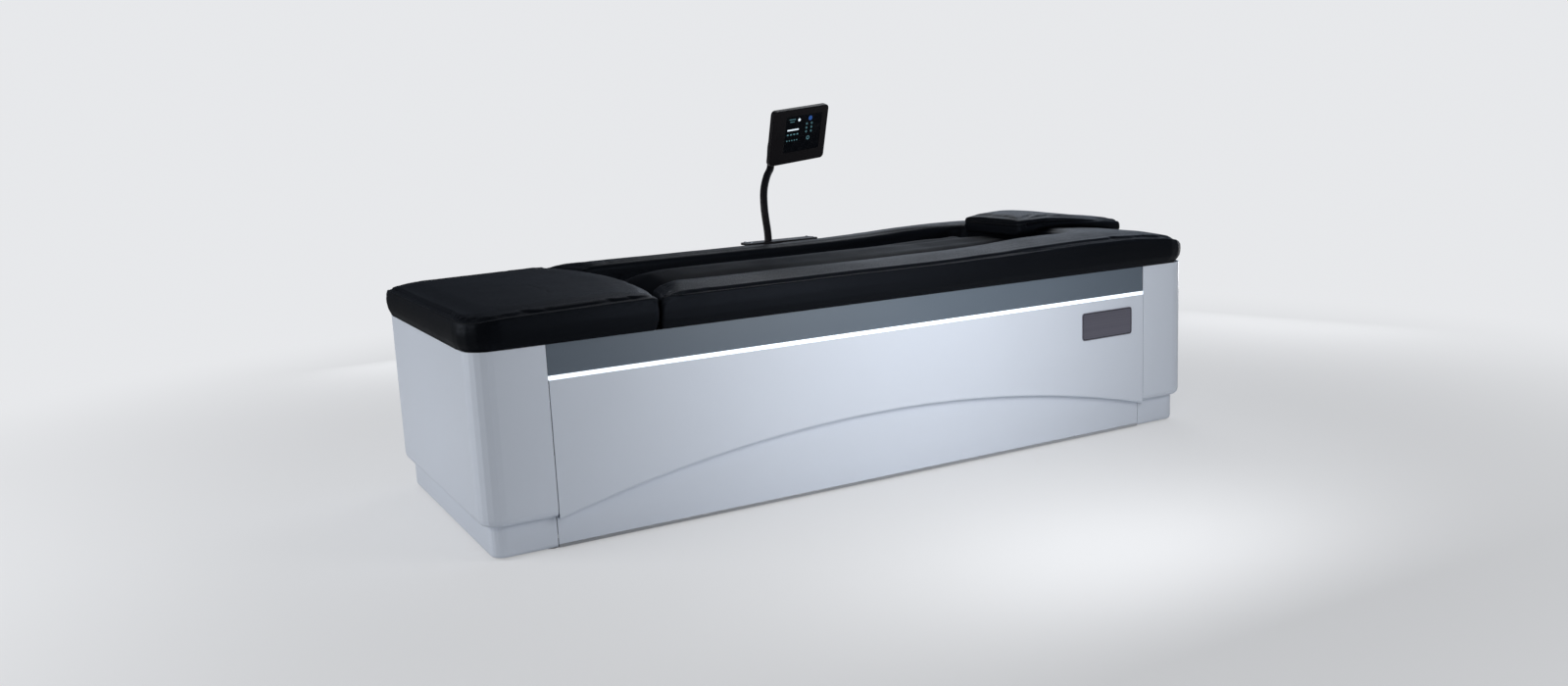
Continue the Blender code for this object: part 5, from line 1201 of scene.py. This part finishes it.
def flat_shapes(name, shapes, plane, lift=0.0):
    """Thin flat shapes on a plane. Each is an outline and, for a ring, a hole of as many points."""
    centre, across, up, out = plane[:4]
    form = bmesh.new()

    def ring(points, height):
        return [form.verts.new(centre + across * u + up * v + out * height) for u, v in points]

    for outline, hole in shapes:
        loops = [(ring(line, lift), ring(line, lift + MARK_THICKNESS))
                 for line in (outline, hole) if line]
        for bottom, top in loops:
            strip(form, bottom, top)
        for side in (0, 1):
            if hole:
                strip(form, loops[0][side], loops[1][side])
            else:
                form.faces.new(loops[0][side])
    bmesh.ops.recalc_face_normals(form, faces=form.faces)
    return linked(name, mesh_of(form, name))


def round_outline(u, v, radius, count=20):
    angles = [TURN * k / count for k in range(count)]
    return [(u + radius * math.cos(a), v + radius * math.sin(a)) for a in angles]


def round_ring(u, v, outer, inner, count):
    return round_outline(u, v, outer, count), round_outline(u, v, inner, count)


def soft_box(u, v, width, height, radius, steps=4):
    """A rectangle with round corners."""
    points = []
    for corner, (sign_u, sign_v) in enumerate(((1, 1), (-1, 1), (-1, -1), (1, -1))):
        for k in range(steps + 1):
            a = math.pi / 2 * (corner + k / steps)
            points.append((u + sign_u * (width / 2 - radius) + radius * math.cos(a),
                           v + sign_v * (height / 2 - radius) + radius * math.sin(a)))
    return points


class TABLE_OT_light_screen(bpy.types.Operator):
    """Light the control screen with a plain layout of bars, dots and round buttons"""
    bl_idname = "massage_table.light_screen"
    bl_label = "Light the Screen"

    def execute(self, context):
        settings = context.scene.massage_table.screen
        plane = face_frame("touch_screen", Vector((0, -1, 0.3)).normalized())
        white = [(round_outline(-0.019, 0.046, 0.0052), None),
                 (soft_box(-0.042, 0.0147, 0.049, 0.0050, 0.0023), None)]
        blue = [(round_outline(0.028, 0.047, 0.0078, 28), None)]
        teal = [(soft_box(-0.048, row, width, 0.0022, 0.0009), None)
                for row, width in ((0.050, 0.026), (0.042, 0.018))]
        teal += [(soft_box(-0.0625 + 0.0135 * k, -0.001, 0.0072, 0.0046, 0.0012), None)
                 for k in range(4)]
        teal += [(round_outline(-0.064 + 0.0105 * k, -0.021, 0.0022, 12), None) for k in range(5)]
        teal += [round_ring(0.015 + 0.021 * k, 0.029 - 0.0135 * row, 0.0036, 0.0019, 14)
                 for row in range(3) for k in range(2)]
        teal.append(round_ring(0.0255, -0.020, 0.0066, 0.0042, 26))
        for name, shapes, colour in (("screen_marks_white", white, settings.white),
                                     ("screen_marks_teal", teal, settings.teal),
                                     ("screen_marks_blue", blue, settings.blue)):
            piece = flat_shapes(name, shapes, plane, MARK_LIFT)
            only_material(piece, glow_material(name.replace("_", " "), colour, settings.brightness))
            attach(piece, "panel")
        return {"FINISHED"}


class TABLE_OT_trim_name_plate(bpy.types.Operator):
    """Give the bare name plate its dark border"""
    bl_idname = "massage_table.trim_name_plate"
    bl_label = "Trim the Name Plate"

    def execute(self, context):
        plane = face_frame("name_plate", Vector((0, -1, 0)))
        outline, hole = (
            soft_box(0, 0, plane[4] - 2 * way, plane[5] - 2 * way,
                     BORDER_CORNER + BORDER_INSET - way, 8)
            for way in (BORDER_INSET, BORDER_INSET + BORDER_WIDTH))
        border = flat_shapes("plate_border", [(outline, hole)], plane)
        groups = {"grain": bpy.data.node_groups["grain and variation"],
                  "edge": bpy.data.node_groups["rounded edges"]}
        only_material(border, grained_material("dark plate border", groups, *PLATE_BORDER))
        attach(border, "table")
        return {"FINISHED"}


HEAD_PROFILE = ((0.0052, 0.0), (0.0052, 0.0009), (0.0046, 0.0022), (0.0032, 0.0030))
HEAD_SIDES = 24
RECESS_RADIUS = 0.0018
RECESS_HEIGHTS = (0.0030, 0.0012)
SCREW_INSET = 0.014
PANEL_SCREWS = (0.095, 0.072)


def screw_head(name):
    """A round-headed screw with a six-sided recess, standing on the plane z = 0."""
    form = bmesh.new()
    angles = [TURN * k / HEAD_SIDES for k in range(HEAD_SIDES)]
    rings = [([radius] * HEAD_SIDES, height) for radius, height in HEAD_PROFILE]
    hexed = [RECESS_RADIUS / max(math.cos(a % (math.pi / 3) - math.pi / 6), 0.5) for a in angles]
    rings += [(hexed, height) for height in RECESS_HEIGHTS]
    loops = [[form.verts.new((radius * math.cos(a), radius * math.sin(a), height))
              for radius, a in zip(radii, angles)] for radii, height in rings]
    for below, over in zip(loops, loops[1:]):
        strip(form, below, over)
    form.faces.new(reversed(loops[0]))
    form.faces.new(loops[-1])
    bmesh.ops.recalc_face_normals(form, faces=form.faces)
    return linked(name, mesh_of(form, name))


def corner_screws(node_name):
    """Places for four screws in the corners of a node's top, and the way up."""
    low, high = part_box(node_name)
    return [(Vector((x, y, high.z)), -DOWN) for x in (low.x + SCREW_INSET, high.x - SCREW_INSET)
            for y in (low.y + SCREW_INSET, high.y - SCREW_INSET)]


class TABLE_OT_drive_screws(bpy.types.Operator):
    """Put the screws into the arm's saddle, the panel's back and the control box"""
    bl_idname = "massage_table.drive_screws"
    bl_label = "Drive the Screws"

    def execute(self, context):
        head = screw_head("screw_head")
        tree = fixing_tree()
        centre, across, rise, out = face_frame("panel_enclosure", Vector((0, 1, -0.3)).normalized())[:4]
        wide, tall = PANEL_SCREWS
        back = [(centre + across * u + rise * v, out) for u in (-wide, wide) for v in (-tall, tall)]
        for name, places, body, slot in (
                ("saddle_screws", corner_screws("arm_mount"), "table", "bright_steel"),
                ("box_screws", corner_screws("control_box_lid"), "table", "bright_steel"),
                ("panel_screws", back, "panel", "black_plastic")):
            piece = points_piece(name, places)
            grown(piece, tree, {"Shape": head, "Size": 1.0, "Material": finish_of(slot)})
            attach(piece, body)
        bpy.data.objects.remove(head)
        return {"FINISHED"}


# The stage

CAMERA_PLACE = Vector((-1.8296, -3.2275, 1.002))
CAMERA_YAW = 0.4974
CAMERA_PITCH = -0.177
CAMERA_ROLL = -0.0475
BRIGHT_SIDE = 0.80
FLOOR_RADIUS = 60.0
LAMPS = (
    ("front lamp", (0.12, -1.42, 0.78), (0.12, 0, 0.30), (0.8, 0.6), 9.8, (1, 1, 1)),
    ("foot end lamp", (-3.6, 0.4, 1.4), (-1.1, 0, 0.3), (1.8, 1.6), 42, (1, 1, 1)),
    ("overhead lamp", (2.1, 2.3, 3.2), (0.2, 0, 0.5), (2.6, 1.8), 28, (1, 1, 1)),
    ("back lamp", (3.2, 3.3, 2.3), (0.3, 0, 0.6), (3.2, 1.3), 17, (0.80, 0.89, 1.0)),
    ("rear lamp", (0.3, 2.6, 0.34), (0.3, 0, 0.30), (2.6, 0.45), 9, (1, 1, 1)),
    ("head end lamp", (2.9, 0.6, 0.36), (1.0, 0, 0.30), (1.2, 0.45), 5, (1, 1, 1)))


def seen_background(tree):
    """One where a ray from the camera, a gloss or a glass meets what is behind."""
    path = tree.nodes.new("ShaderNodeLightPath").outputs
    first = maths(tree, "MAXIMUM", path["Is Camera Ray"], path["Is Glossy Ray"])
    return maths(tree, "MAXIMUM", first, path["Is Transmission Ray"])


def gloss_level(tree, way, side, front):
    """Where a ray is glossy, and how bright the studio shows in it along and across the table."""
    axes = node(tree, "ShaderNodeSeparateXYZ", {0: way})
    both = maths(tree, "MULTIPLY", eased(tree, axes.outputs["X"], *side),
                 eased(tree, axes.outputs["Y"], *front))
    gloss = tree.nodes.new("ShaderNodeLightPath").outputs["Is Glossy Ray"]
    level = node(tree, "ShaderNodeMix", {"Factor": gloss, "A": 1.0, "B": both})
    return gloss, level.outputs["Result"]


def cleared_tree(holder):
    holder.use_nodes = True
    holder.node_tree.nodes.clear()
    return holder.node_tree


def opaque(colour):
    return tuple(colour) + (1,)


def pale_world(settings):
    world = bpy.data.worlds.new("even studio light")
    bpy.context.scene.world = world
    tree = cleared_tree(world)
    even = node(tree, "ShaderNodeBackground", {
        "Color": (0.96, 0.98, 1.0, 1), "Strength": settings.daylight})
    way = tree.nodes.new("ShaderNodeTexCoord").outputs["Generated"]
    gloss, level = gloss_level(tree, way, (0.25, 0.80, settings.dim_side, BRIGHT_SIDE),
                               (-0.4, 0.1, 0.40, 1.0))
    behind = node(tree, "ShaderNodeBackground", {
        "Color": blended(tree, gloss, opaque(settings.floor), opaque(settings.gloss)),
        "Strength": level})
    mix = node(tree, "ShaderNodeMixShader", {
        0: seen_background(tree), 1: even.outputs[0], 2: behind.outputs[0]})
    node(tree, "ShaderNodeOutputWorld", {"Surface": mix.outputs[0]})


def pale_floor(settings):
    """A wide floor that passes into the background far from the table."""
    form = bmesh.new()
    bmesh.ops.create_circle(form, cap_ends=True, segments=96, radius=FLOOR_RADIUS)
    floor = linked("studio_floor", mesh_of(form, "studio_floor"))
    material = bpy.data.materials.new("pale studio floor")
    tree = cleared_tree(material)
    place = tree.nodes.new("ShaderNodeTexCoord").outputs["Object"]
    away = node(tree, "ShaderNodeVectorMath", {0: place}, operation="LENGTH")
    far = eased(tree, away.outputs["Value"], 1.5, 3.6, 0.5, 1.0)
    seen = maths(tree, "MULTIPLY", far, seen_background(tree))
    speck = noise_texture(tree, place, 2.0, Detail=3.0)
    matt = node(tree, "ShaderNodeBsdfDiffuse", {"Color": blended(
        tree, speck, shade(settings.floor, 0.985), shade(settings.floor, 1.0))})
    level = gloss_level(tree, place, (-1.5, 3.0, settings.dim_side, BRIGHT_SIDE),
                        (-2.5, -0.2, 0.35, 1.0))[1]
    glow = node(tree, "ShaderNodeEmission", {"Color": opaque(settings.floor), "Strength": level})
    mix = node(tree, "ShaderNodeMixShader", {0: seen, 1: matt.outputs[0], 2: glow.outputs[0]})
    node(tree, "ShaderNodeOutputMaterial", {"Surface": mix.outputs[0]})
    floor.data.materials.append(material)


def placed(name, data, matrix):
    holder = bpy.data.objects.new(name, data)
    bpy.context.scene.collection.objects.link(holder)
    holder.matrix_world = matrix
    return holder


def soft_lamp(name, place, target, size, power, colour):
    lamp = bpy.data.lights.new(name, "AREA")
    lamp.shape = "RECTANGLE"
    lamp.size, lamp.size_y = size
    lamp.energy = power
    lamp.color = colour
    turn = (Vector(target) - Vector(place)).to_track_quat("-Z", "Y").to_matrix().to_4x4()
    placed(name, lamp, Matrix.Translation(place) @ turn).visible_camera = False


def photo_camera(settings):
    """The photograph's own view: a picture of 1600 by 700."""
    ahead = Vector((math.sin(CAMERA_YAW), math.cos(CAMERA_YAW), 0))
    right = Vector((math.cos(CAMERA_YAW), -math.sin(CAMERA_YAW), 0))
    forward = ahead * math.cos(CAMERA_PITCH) + Vector((0, 0, math.sin(CAMERA_PITCH)))
    up = right.cross(forward)
    leaning_right = right * math.cos(CAMERA_ROLL) + up * math.sin(CAMERA_ROLL)
    leaning_up = up * math.cos(CAMERA_ROLL) - right * math.sin(CAMERA_ROLL)
    camera = bpy.data.cameras.new("photo camera")
    camera.sensor_fit = "HORIZONTAL"
    camera.sensor_width = 36.0
    camera.lens = settings.lens
    camera.clip_end = 200.0
    turn = Matrix((leaning_right, leaning_up, -forward)).transposed().to_4x4()
    bpy.context.scene.camera = placed("photo camera", camera, Matrix.Translation(CAMERA_PLACE) @ turn)


class TABLE_OT_set_stage(bpy.types.Operator):
    """Set the pale floor, the soft lamps and the photograph's camera"""
    bl_idname = "massage_table.set_stage"
    bl_label = "Set the Stage"

    def execute(self, context):
        settings = context.scene.massage_table.stage
        photo_camera(settings)
        pale_world(settings)
        pale_floor(settings)
        for lamp in LAMPS:
            soft_lamp(*lamp)
        context.scene.view_settings.view_transform = "Standard"
        return {"FINISHED"}


OPERATORS = (TABLE_OT_set_stage, TABLE_OT_finish_frame, TABLE_OT_upholster_pads, TABLE_OT_plump_pillow,
             TABLE_OT_stretch_membrane, TABLE_OT_light_screen, TABLE_OT_trim_name_plate,
             TABLE_OT_drive_screws)


class TABLE_PT_pieces(bpy.types.Panel):
    bl_idname = "TABLE_PT_pieces"
    bl_label = "Massage Table"
    bl_space_type = "VIEW_3D"
    bl_region_type = "UI"
    bl_category = "Massage Table"

    def draw(self, context):
        for operator in OPERATORS:
            self.layout.operator(operator.bl_idname)
        table = context.scene.massage_table
        for part in (table.shell, table.cushion, table.membrane, table.screen, table.stage):
            box = self.layout.box()
            for key in part.__annotations__:
                box.prop(part, key)


CLASSES = (ShellSettings, CushionSettings, MembraneSettings, ScreenSettings, StageSettings,
           TableSettings, *OPERATORS, TABLE_PT_pieces)


def register():
    for kind in CLASSES:
        bpy.utils.register_class(kind)
    bpy.types.Scene.massage_table = bpy.props.PointerProperty(type=TableSettings)


def unregister():
    del bpy.types.Scene.massage_table
    for kind in reversed(CLASSES):
        bpy.utils.unregister_class(kind)


def main():
    register()
    for operator in OPERATORS:
        group, action = operator.bl_idname.split(".")
        getattr(getattr(bpy.ops, group), action)()


if __name__ == "__main__":
    main()
